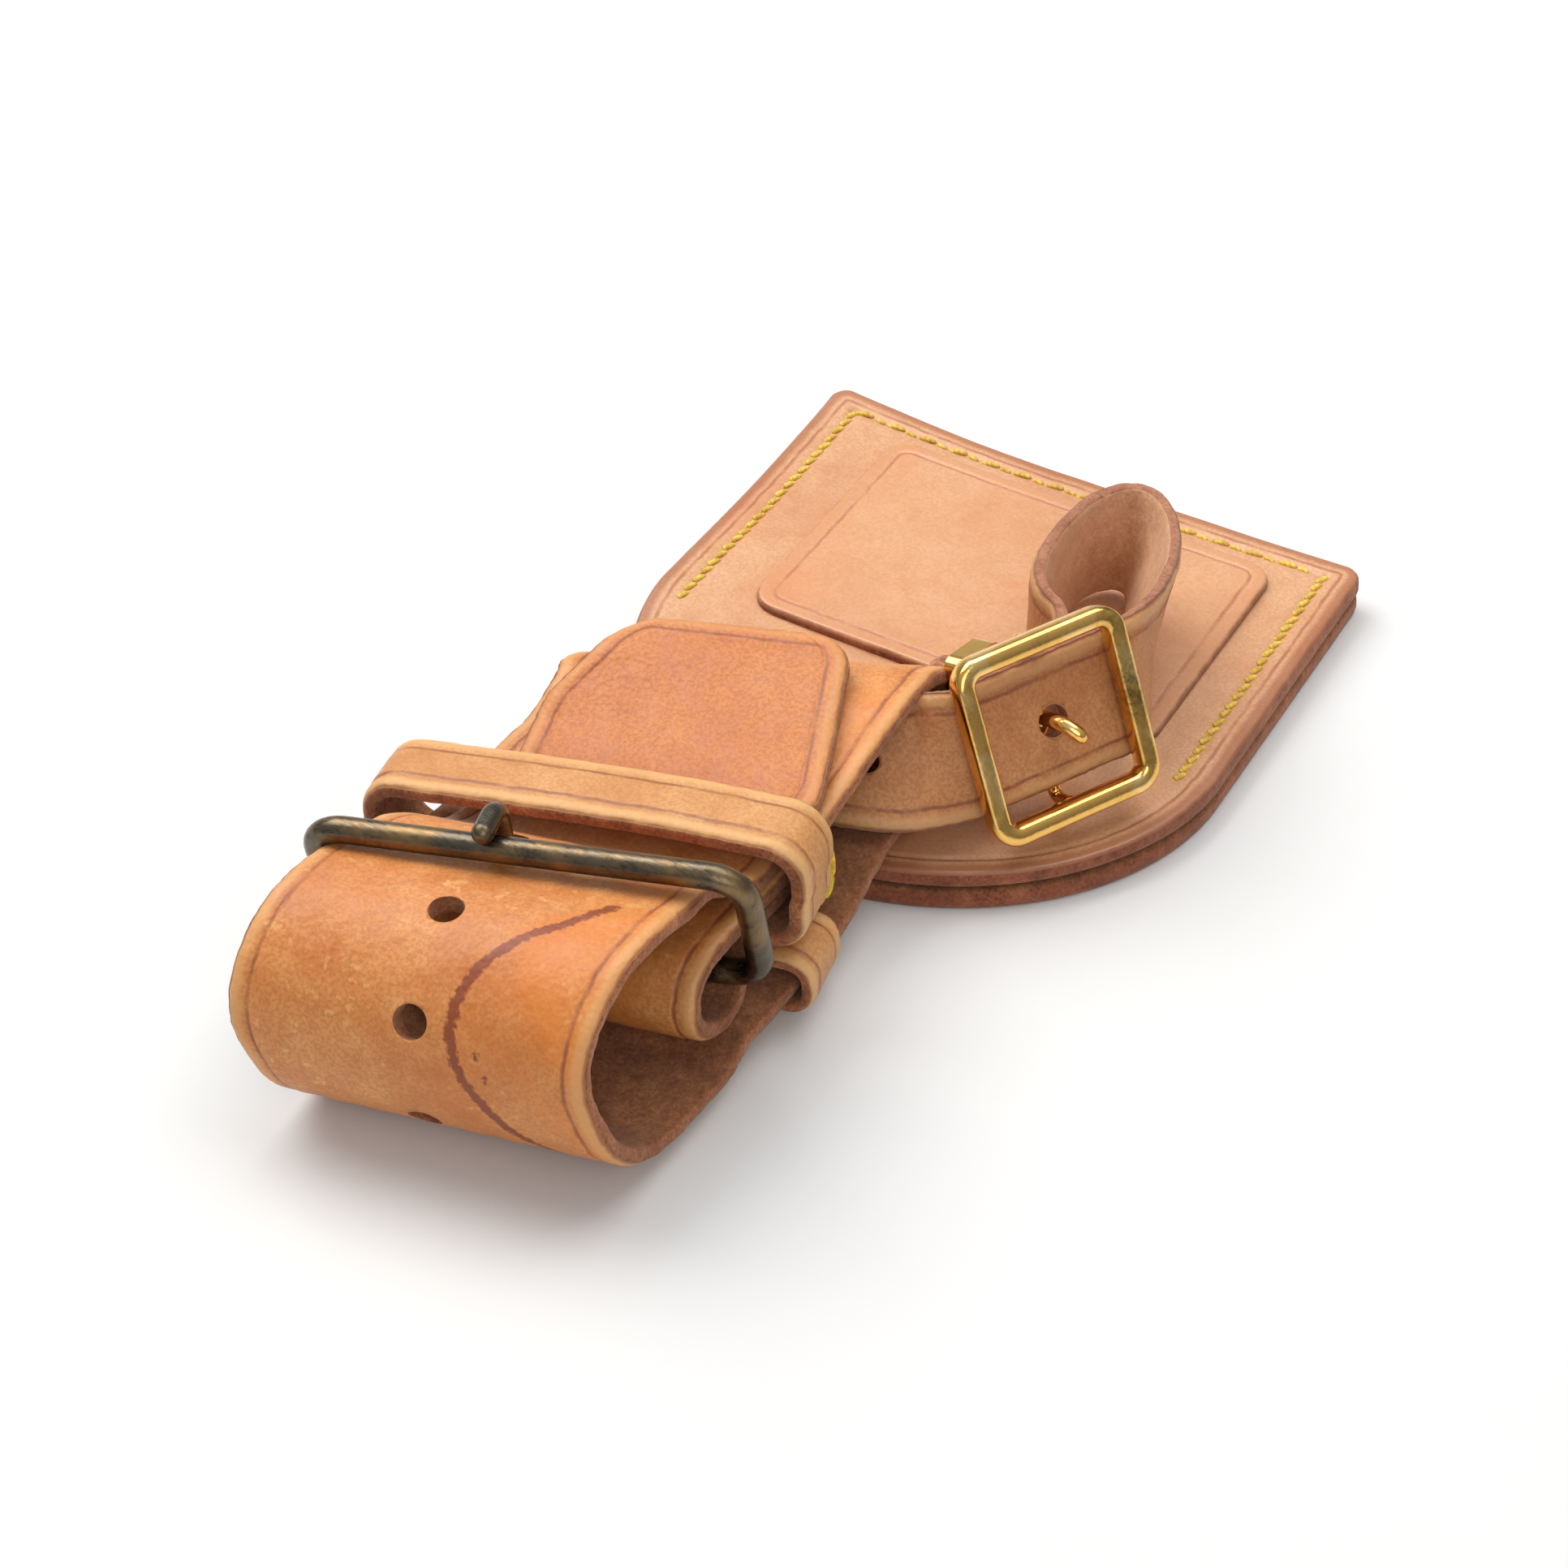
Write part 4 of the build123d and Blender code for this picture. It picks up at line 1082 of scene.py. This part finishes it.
def half_width_at(y):
    if y < SIDE_Y:
        q = (SIDE_Y - y) / (SIDE_Y - NEAR_Y)
        return HALF_WIDTH * math.sqrt(max(0.0, 1 - q * q))
    return HALF_WIDTH - round_off(FAR_Y - y, FAR_CORNER)


def pocket_outline():
    """Border points, anticlockwise from the left end of the near half ellipse."""
    corner_x, corner_y = HALF_WIDTH - FAR_CORNER, FAR_Y - FAR_CORNER

    def arc(cx, cy, rx, ry, start, sweep, steps, first=1):
        angles = [start + sweep * i / steps for i in range(first, steps + 1)]
        return [(cx + rx * math.cos(a), cy + ry * math.sin(a)) for a in angles]

    quarter = math.pi / 2
    outline = arc(0, SIDE_Y, HALF_WIDTH, SIDE_Y - NEAR_Y, math.pi, math.pi, 160, first=0)
    outline += [(HALF_WIDTH, y) for y in np.linspace(SIDE_Y, corner_y, 60)[1:]]
    outline += arc(corner_x, corner_y, FAR_CORNER, FAR_CORNER, 0, quarter, 12)
    outline += [(x, FAR_Y) for x in np.linspace(corner_x, -corner_x, 90)[1:]]
    outline += arc(-corner_x, corner_y, FAR_CORNER, FAR_CORNER, quarter, quarter, 12)
    outline += [(-HALF_WIDTH, y) for y in np.linspace(corner_y, SIDE_Y, 60)[1:-1]]
    return np.array(outline)


def border_distance(points):
    outline = pocket_outline()
    nearest = np.full(len(points), 1e9)
    for start, end in zip(outline, np.roll(outline, -1, axis=0)):
        step = end - start
        share = np.clip(((points - start) @ step) / (step ** 2).sum(), 0, 1)
        offset = points - (start + share[:, None] * step)
        nearest = np.minimum(nearest, (offset ** 2).sum(1))
    return np.sqrt(nearest)


def axis_samples(half, fine, band, coarse):
    """Offsets from -half to half, spaced `fine` within `band` of both ends."""
    edge = np.linspace(0, band, int(band / fine) + 1)
    inner = np.linspace(band, 2 * half - band, int((2 * half - 2 * band) / coarse) + 1)[1:-1]
    return np.concatenate([edge, inner, 2 * half - edge[::-1]]) - half


def plate(name, top, bottom, columns, distances, materials, bulge_seed=None):
    """Closed slab from two matching grids; a seed gives its wall two bulged rings."""
    count = len(top)
    rows = count // columns
    points = top + bottom
    edges = list(distances) * 2
    faces, slots = [], []
    for j in range(rows - 1):
        for i in range(columns - 1):
            a = j * columns + i
            b = count + a
            faces.append((a, a + 1, a + columns + 1, a + columns))
            faces.append((b, b + columns, b + columns + 1, b + 1))
            slots += [TOP, UNDER]
    border = list(range(columns))
    border += [j * columns + columns - 1 for j in range(1, rows)]
    border += [(rows - 1) * columns + i for i in range(columns - 2, -1, -1)]
    border += [j * columns for j in range(rows - 2, 0, -1)]
    rings = [border]
    for share in (0.3, 0.7) if bulge_seed is not None else ():
        ring = []
        for v in border:
            x, y, z = top[v]
            middle = np.array(top[v]) * (1 - share) + np.array(bottom[v]) * share
            outward = unit(np.array([x / HALF_WIDTH ** 2, (y - 8) / 36 ** 2, 0]) + 1e-9)
            z = share * 3 + bulge_seed
            bulge = (0.12 + 0.10 * noise3(x * 0.8, y * 0.8, z)
                     + 0.06 * noise3(x * 2.6, y * 2.6, z))
            ring.append(len(points))
            points.append(tuple(middle + outward * bulge))
            edges.append(0.0)
        rings.append(ring)
    rings.append([count + v for v in border])
    for upper, lower in zip(rings, rings[1:]):
        for k in range(len(border)):
            after = (k + 1) % len(border)
            faces.append((upper[k], lower[k], lower[after], upper[after]))
            slots.append(WALL)
    obj = make_object(name, points, faces, materials, slots,
                      attributes={"edge": edges, "mark": [0.0] * len(points)})
    settle(obj, merge=True)
    return obj


def panel(name, bottom_at, top_at, materials, fine, seed):
    """Full-outline pocket panel between two height functions."""
    xs = axis_samples(HALF_WIDTH, fine, band=6.0, coarse=0.8) / HALF_WIDTH
    ys = [SIDE_Y - (SIDE_Y - NEAR_Y) * math.cos(a) for a in np.linspace(0, math.pi / 2, 90)]
    ys += list(np.arange(SIDE_Y + 0.6, FAR_Y - 6, 0.7))
    ys += list(np.linspace(FAR_Y - 6, FAR_Y, int(6 / fine) + 1))
    ys[0] = NEAR_Y + 0.02
    grid = np.array([(x * max(half_width_at(y), 0.4), y) for y in ys for x in xs])
    distances = border_distance(grid)
    top, bottom = [], []
    for (x, y), d in zip(grid, distances):
        drop = round_off(d, 0.45)
        top.append((x, y, top_at(x, y, d) + curl(x, y) - drop * 0.8))
        bottom.append((x, y, bottom_at(x, y) + curl(x, y) + drop * 0.5))
    return plate(name, top, bottom, len(xs), distances, materials, bulge_seed=seed)


def front_relief(x, y, d):
    """Height change of the front panel's face, d from its border."""
    z = 0.0
    # stitched channel on three sides
    if y > STITCH_NEAR_Y - 1.0:
        if y < STITCH_FAR_Y + 0.5:
            start = min(1, (y - STITCH_NEAR_Y + 1.0) / 1.0)
            z -= 0.30 * math.exp(-((abs(x) - STITCH_X) / 0.55) ** 2) * start
        if abs(x) < STITCH_X + 0.5:
            z -= 0.30 * math.exp(-((y - STITCH_FAR_Y) / 0.55) ** 2)
    # creased line round the mouth end
    if y < STITCH_NEAR_Y:
        start = min(1, (STITCH_NEAR_Y - y) / 1.5)
        z -= 0.16 * math.exp(-((d - 2.3) / 0.22) ** 2) * start
    # soft unevenness
    z += 0.12 * noise3(x * 0.06, y * 0.06, 0.3) + 0.05 * noise3(x * 0.2, y * 0.2, 4.3)
    # lines just outside the raised pad, left and right
    if 0 < y < 39:
        z -= 0.14 * math.exp(-((x + 25.6) / 0.24) ** 2)
        z -= 0.22 * math.exp(-((x - 27.6) / 0.35) ** 2)
    return z


def mouth_gap(y):
    """Opening between the panels, growing towards the mouth end."""
    return 0.45 * clamp01((STITCH_NEAR_Y - y) / 12)


def pocket_panels():
    front = panel("front_panel_leather", lambda x, y: 2.62 + mouth_gap(y),
                  lambda x, y, d: FRONT_TOP + front_relief(x, y, d),
                  [M_TAG, M_FLESH, M_BURNISHED], fine=0.33, seed=1.0)
    attach(front, "pocket", "front_panel")
    back = panel("back_panel_leather", lambda x, y: 0.0,
                 lambda x, y, d: 2.55 - 0.15 * mouth_gap(y),
                 [M_FLESH, M_TAG, M_BURNISHED], fine=0.8, seed=4.0)
    # window
    cut(back, [slab_cutter(-24, 24, 7, 33, -3, 8, 3, M_BURNISHED)])
    attach(back, "pocket", "back_panel")


def sheet(name, body, node, x, y, z, corner, materials, fine, coarse, bevel, relief=None):
    """Rounded rectangle between the x, y and z limits that follows the pocket's curl."""
    cx, cy = sum(x) / 2, sum(y) / 2
    half_x, half_y = (x[1] - x[0]) / 2, (y[1] - y[0]) / 2
    columns = axis_samples(half_x, fine, band=4.5, coarse=coarse)
    rows = axis_samples(half_y, fine, band=4.5, coarse=coarse)
    top, bottom, distances = [], [], []
    for v in rows:
        limit = half_x - round_off(half_y - abs(v), corner)
        for u in columns:
            u = u * limit / half_x
            past_x = abs(u) - (half_x - corner)
            past_y = abs(v) - (half_y - corner)
            if past_x > 0 and past_y > 0:
                d = corner - math.hypot(past_x, past_y)
            else:
                d = min(half_x - abs(u), half_y - abs(v))
            d = max(0.0, d)
            px, py = cx + u, cy + v
            height = z[1] + curl(px, py) - round_off(d, bevel)
            top.append((px, py, height + (relief(px, py, d) if relief else 0)))
            bottom.append((px, py, z[0] + curl(px, py)))
            distances.append(d)
    obj = plate(name, top, bottom, len(columns), distances, materials)
    attach(obj, body, node)


def pad_relief(x, y, d):
    """Soft unevenness and a creased line 1.9 mm in."""
    return 0.10 * noise3(x * 0.07, y * 0.07, 9.3) - 0.12 * math.exp(-((d - 1.9) / 0.2) ** 2)


pocket_panels()
sheet("raised_pad_leather", "pocket", "raised_pad", x=(-23.8, 26.2),
      y=(1.2, 38.2), z=(4.72, 6.05), corner=3.6, materials=[M_PAD, M_FLESH, M_BURNISHED],
      fine=0.25, coarse=0.9, bevel=0.5, relief=pad_relief)
sheet("window_film_sheet", "pocket", "window_film", x=(-27, 27), y=(4, 36),
      z=(2.10, 2.40), corner=3, materials=[M_FILM] * 3, fine=0.8, coarse=2.0, bevel=0.2)
sheet("name_card_sheet", "card", "name_card", x=(-28, 28), y=(-14, 36.8),
      z=(2.68, 2.98), corner=4, materials=[M_CARD] * 3, fine=0.8, coarse=2.0, bevel=0.05)

# ------------------------------------------------------------------ stitches
STITCH_PITCH = 1.78
STITCH_RINGS = 15
STITCH_SIDES = 10


def add_stitch(points, faces, centre, direction, length, radius):
    """Flattened capsule, arched a little in the middle."""
    side = np.cross(direction, WORLD_UP)
    base = len(points)
    for i in range(STITCH_RINGS):
        t = -1 + 2 * i / (STITCH_RINGS - 1)
        e = abs(t)
        r = radius * (1 - max(0, (e - 0.45) / 0.55) ** 2.2) ** 0.5 if e < 1 else 0.0
        r = max(r, 0.03)
        twist = 1 + 0.07 * math.sin(t * 9)
        lift = radius * 0.35 * (1 - e * e)
        for k in range(STITCH_SIDES):
            a = 2 * math.pi * k / STITCH_SIDES
            ring = (WORLD_UP * math.cos(a) * 0.8 + side * math.sin(a)) * r * twist
            points.append(centre + direction * (t * length / 2) + ring + WORLD_UP * lift)
    faces += grid_faces(STITCH_RINGS, STITCH_SIDES, base=base)
    last = base + (STITCH_RINGS - 1) * STITCH_SIDES
    faces.append(tuple(base + k for k in reversed(range(STITCH_SIDES))))
    faces.append(tuple(last + k for k in range(STITCH_SIDES)))


def stitches(name, items, node):
    """items: x, y, angle in degrees, length, radius."""
    points, faces = [], []
    for x, y, degrees, length, radius in items:
        a = math.radians(degrees + rng.normal(0, 3))
        x += rng.normal(0, 0.06)
        y += rng.normal(0, 0.05)
        z = FRONT_TOP + curl(x, y) + front_relief(x, y, 3) + 0.06
        add_stitch(points, faces, np.array([x, y, z]),
                   np.array([math.cos(a), math.sin(a), 0]), length, radius)
    obj = make_object(name, points, faces, [M_THREAD])
    settle(obj)
    attach(obj, "pocket", node)


side_count = int((STITCH_FAR_Y - 1 - STITCH_NEAR_Y) / STITCH_PITCH) + 1
for side_name, side_x in (("left", -STITCH_X), ("right", STITCH_X)):
    stitches("stitching_%s_thread" % side_name,
             [(side_x, STITCH_NEAR_Y + 0.3 + i * STITCH_PITCH, 66, 1.95, 0.36)
              for i in range(side_count)], "stitching_" + side_name)
# the far row alternates long and short stitches
far_items = []
for far_x in np.arange(-29.6, 29.8, 4.3):
    far_items.append((far_x, STITCH_FAR_Y + 0.05, 10, 2.5, 0.36))
    far_items.append((far_x + 2.15, STITCH_FAR_Y - 0.05, -12, 1.5, 0.30))
stitches("stitching_far_thread", far_items, "stitching_far")

# ================================================================== METAL
# CAD pieces that keep their own meshes
for node_name, metal_material in (("handle_buckle_frame", M_BRONZE),
                                  ("handle_buckle_prong", M_BRONZE),
                                  ("gold_pivot_bar", M_BRASS), ("gold_keeper", M_BRASS)):
    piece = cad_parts[node_name]
    piece.data.materials.clear()
    piece.data.materials.append(metal_material)
    for polygon in piece.data.polygons:
        polygon.use_smooth = True
    piece.modifiers.new("split", "EDGE_SPLIT").split_angle = math.radians(38)

FRAME_X, FRAME_Y = 20.7, 21.2       # outer size of the square buckle
FRAME_CORNER = 3.2                  # outer corner radius
BAR_HALF_WIDTH, BAR_HALF_DEPTH = 1.18, 1.35


def square_tarnish(point):
    """Tarnish on the frame's bar at +x."""
    offset = np.array(point) - BUCKLE_CENTRE
    x, y = offset @ BUCKLE_X, offset @ BUCKLE_Y
    if y <= -8:
        return 0.0
    amount = clamp01((x - 6.8) / 1.5) * 0.75 * clamp01((y + 9) / 4)
    return amount * (0.6 + 0.4 * math.sin(y * 0.6 + 1))


def square_buckle():
    """Frame of rounded, slightly domed bars."""
    radius = FRAME_CORNER - BAR_HALF_WIDTH
    corner_x = FRAME_X / 2 - BAR_HALF_WIDTH - radius
    corner_y = FRAME_Y / 2 - BAR_HALF_WIDTH - radius
    corners = []
    for sx, sy, start in ((1, -1, -90), (1, 1, 0), (-1, 1, 90), (-1, -1, 180)):
        for i in range(11):
            a = math.radians(start + 90 * i / 10)
            corners.append(np.array((sx * corner_x + radius * math.cos(a),
                                     sy * corner_y + radius * math.sin(a))))
    path = []
    for a, b in zip(corners, corners[1:] + corners[:1]):
        count = max(1, int(np.linalg.norm(b - a) / 0.6))
        path += [a + (b - a) * k / count for k in range(count)]
    profile = []
    for k in range(28):
        a = 2 * math.pi * k / 28
        c, s = math.cos(a), math.sin(a)
        profile.append((BAR_HALF_WIDTH * math.copysign(abs(c) ** 0.62, c) * 0.98,
                        BAR_HALF_DEPTH * math.copysign(abs(s) ** 0.62, s)))
    points = []
    for i, centre in enumerate(path):
        tangent = unit(path[(i + 1) % len(path)] - path[i - 1])
        outward = np.array([tangent[1], -tangent[0]])
        for offset, height in profile:
            x, y = centre + outward * offset
            points.append(buckle_point(x, y, height))
    obj = make_object("square_buckle_brass", points,
                      grid_faces(len(path), len(profile), closed=True), [M_BRASS],
                      attributes={"tarnish": [square_tarnish(p) for p in points]})
    settle(obj)
    attach(obj, "square_buckle", "gold_buckle_frame")


square_buckle()

# ================================================================== STAGE (metres)
CAMERA_AZIMUTH = math.radians(29.1)
CAMERA_ELEVATION = math.radians(40.0)
CAMERA_DISTANCE = 0.347
CAMERA_LENS = 74.534161
CAMERA_TARGET = Vector((-4.9, -23.8, 6.2)) * MM
LIGHT_TARGET = Vector((0, -0.02, 0.01))
# Floor that sweeps up into a backdrop: y, z
BACKDROP = [(-3.0, 0.0), (0.55, 0.0), (0.70, 0.012), (0.82, 0.05), (0.92, 0.13), (0.98, 0.25),
            (1.0, 2.4)]


def floor():
    """Backdrop turned to face the camera."""
    bpy.ops.mesh.primitive_plane_add(size=6, location=(0, 0, 0))
    obj = bpy.context.object
    obj.name = "floor"
    bm = bmesh.new()
    left, right = [[bm.verts.new((x, y, z)) for y, z in BACKDROP] for x in (-3.0, 3.0)]
    for i in range(len(BACKDROP) - 1):
        bm.faces.new((left[i], right[i], right[i + 1], left[i + 1]))
    bm.to_mesh(obj.data)
    bm.free()
    obj.rotation_euler = (0, 0, CAMERA_AZIMUTH)
    for polygon in obj.data.polygons:
        polygon.use_smooth = True
    material, s = new_material("floor_white")
    colour = s.ramp(s.noise(scale=12, detail=4),
                    [(0.3, (0.70, 0.70, 0.695)), (0.7, (0.715, 0.715, 0.71))])
    s.finish(colour, 0.7, {"Specular IOR Level": 0.2})
    obj.data.materials.append(material)


def studio_world():
    """Soft white surround, darker towards the ground."""
    world = bpy.data.worlds.new("studio")
    bpy.context.scene.world = world
    world.use_nodes = True
    background = world.node_tree.nodes["Background"]
    background.inputs["Color"].default_value = (1.0, 1.0, 1.0, 1)
    background.inputs["Strength"].default_value = 0.55
    s = Nodes(world.node_tree, space="Generated")
    axes = s.add("ShaderNodeSeparateXYZ")
    s.put(axes.inputs[0], s.coords)
    sky = s.ramp(axes.outputs["Z"], [(0.0, (0.34, 0.34, 0.345)), (0.35, (0.72, 0.72, 0.72)),
                                     (0.8, (1.0, 1.0, 1.0))])
    s.put(background.inputs["Color"], sky)


def area_light(name, location, size, power, colour=(1, 1, 1)):
    light = bpy.data.lights.new(name, "AREA")
    light.shape = "RECTANGLE"
    light.size, light.size_y = size
    light.energy = power
    light.color = colour
    obj = bpy.data.objects.new(name, light)
    bpy.context.scene.collection.objects.link(obj)
    obj.location = location
    aim = LIGHT_TARGET - Vector(location)
    obj.rotation_euler = aim.to_track_quat("-Z", "Y").to_euler()


def camera():
    backward = Vector((math.sin(CAMERA_AZIMUTH) * math.cos(CAMERA_ELEVATION),
                       -math.cos(CAMERA_AZIMUTH) * math.cos(CAMERA_ELEVATION),
                       math.sin(CAMERA_ELEVATION)))
    data = bpy.data.cameras.new("cam")
    data.lens = CAMERA_LENS
    data.sensor_width = 36
    data.clip_start = 0.01
    obj = bpy.data.objects.new("cam", data)
    bpy.context.scene.collection.objects.link(obj)
    obj.location = CAMERA_TARGET + backward * CAMERA_DISTANCE
    obj.rotation_euler = (-backward).to_track_quat("-Z", "Y").to_euler()
    bpy.context.scene.camera = obj


floor()
studio_world()
area_light("key", location=(-0.45, 0.05, 0.62), size=(0.55, 0.55), power=4.7,
           colour=(1.0, 0.985, 0.96))
area_light("top", location=(0.05, 0.25, 0.75), size=(0.7, 0.5), power=3.4)
area_light("fill", location=(0.45, -0.55, 0.45), size=(0.5, 0.5), power=1.5,
           colour=(0.97, 0.985, 1.0))
camera()
bpy.context.scene.view_settings.view_transform = "Standard"
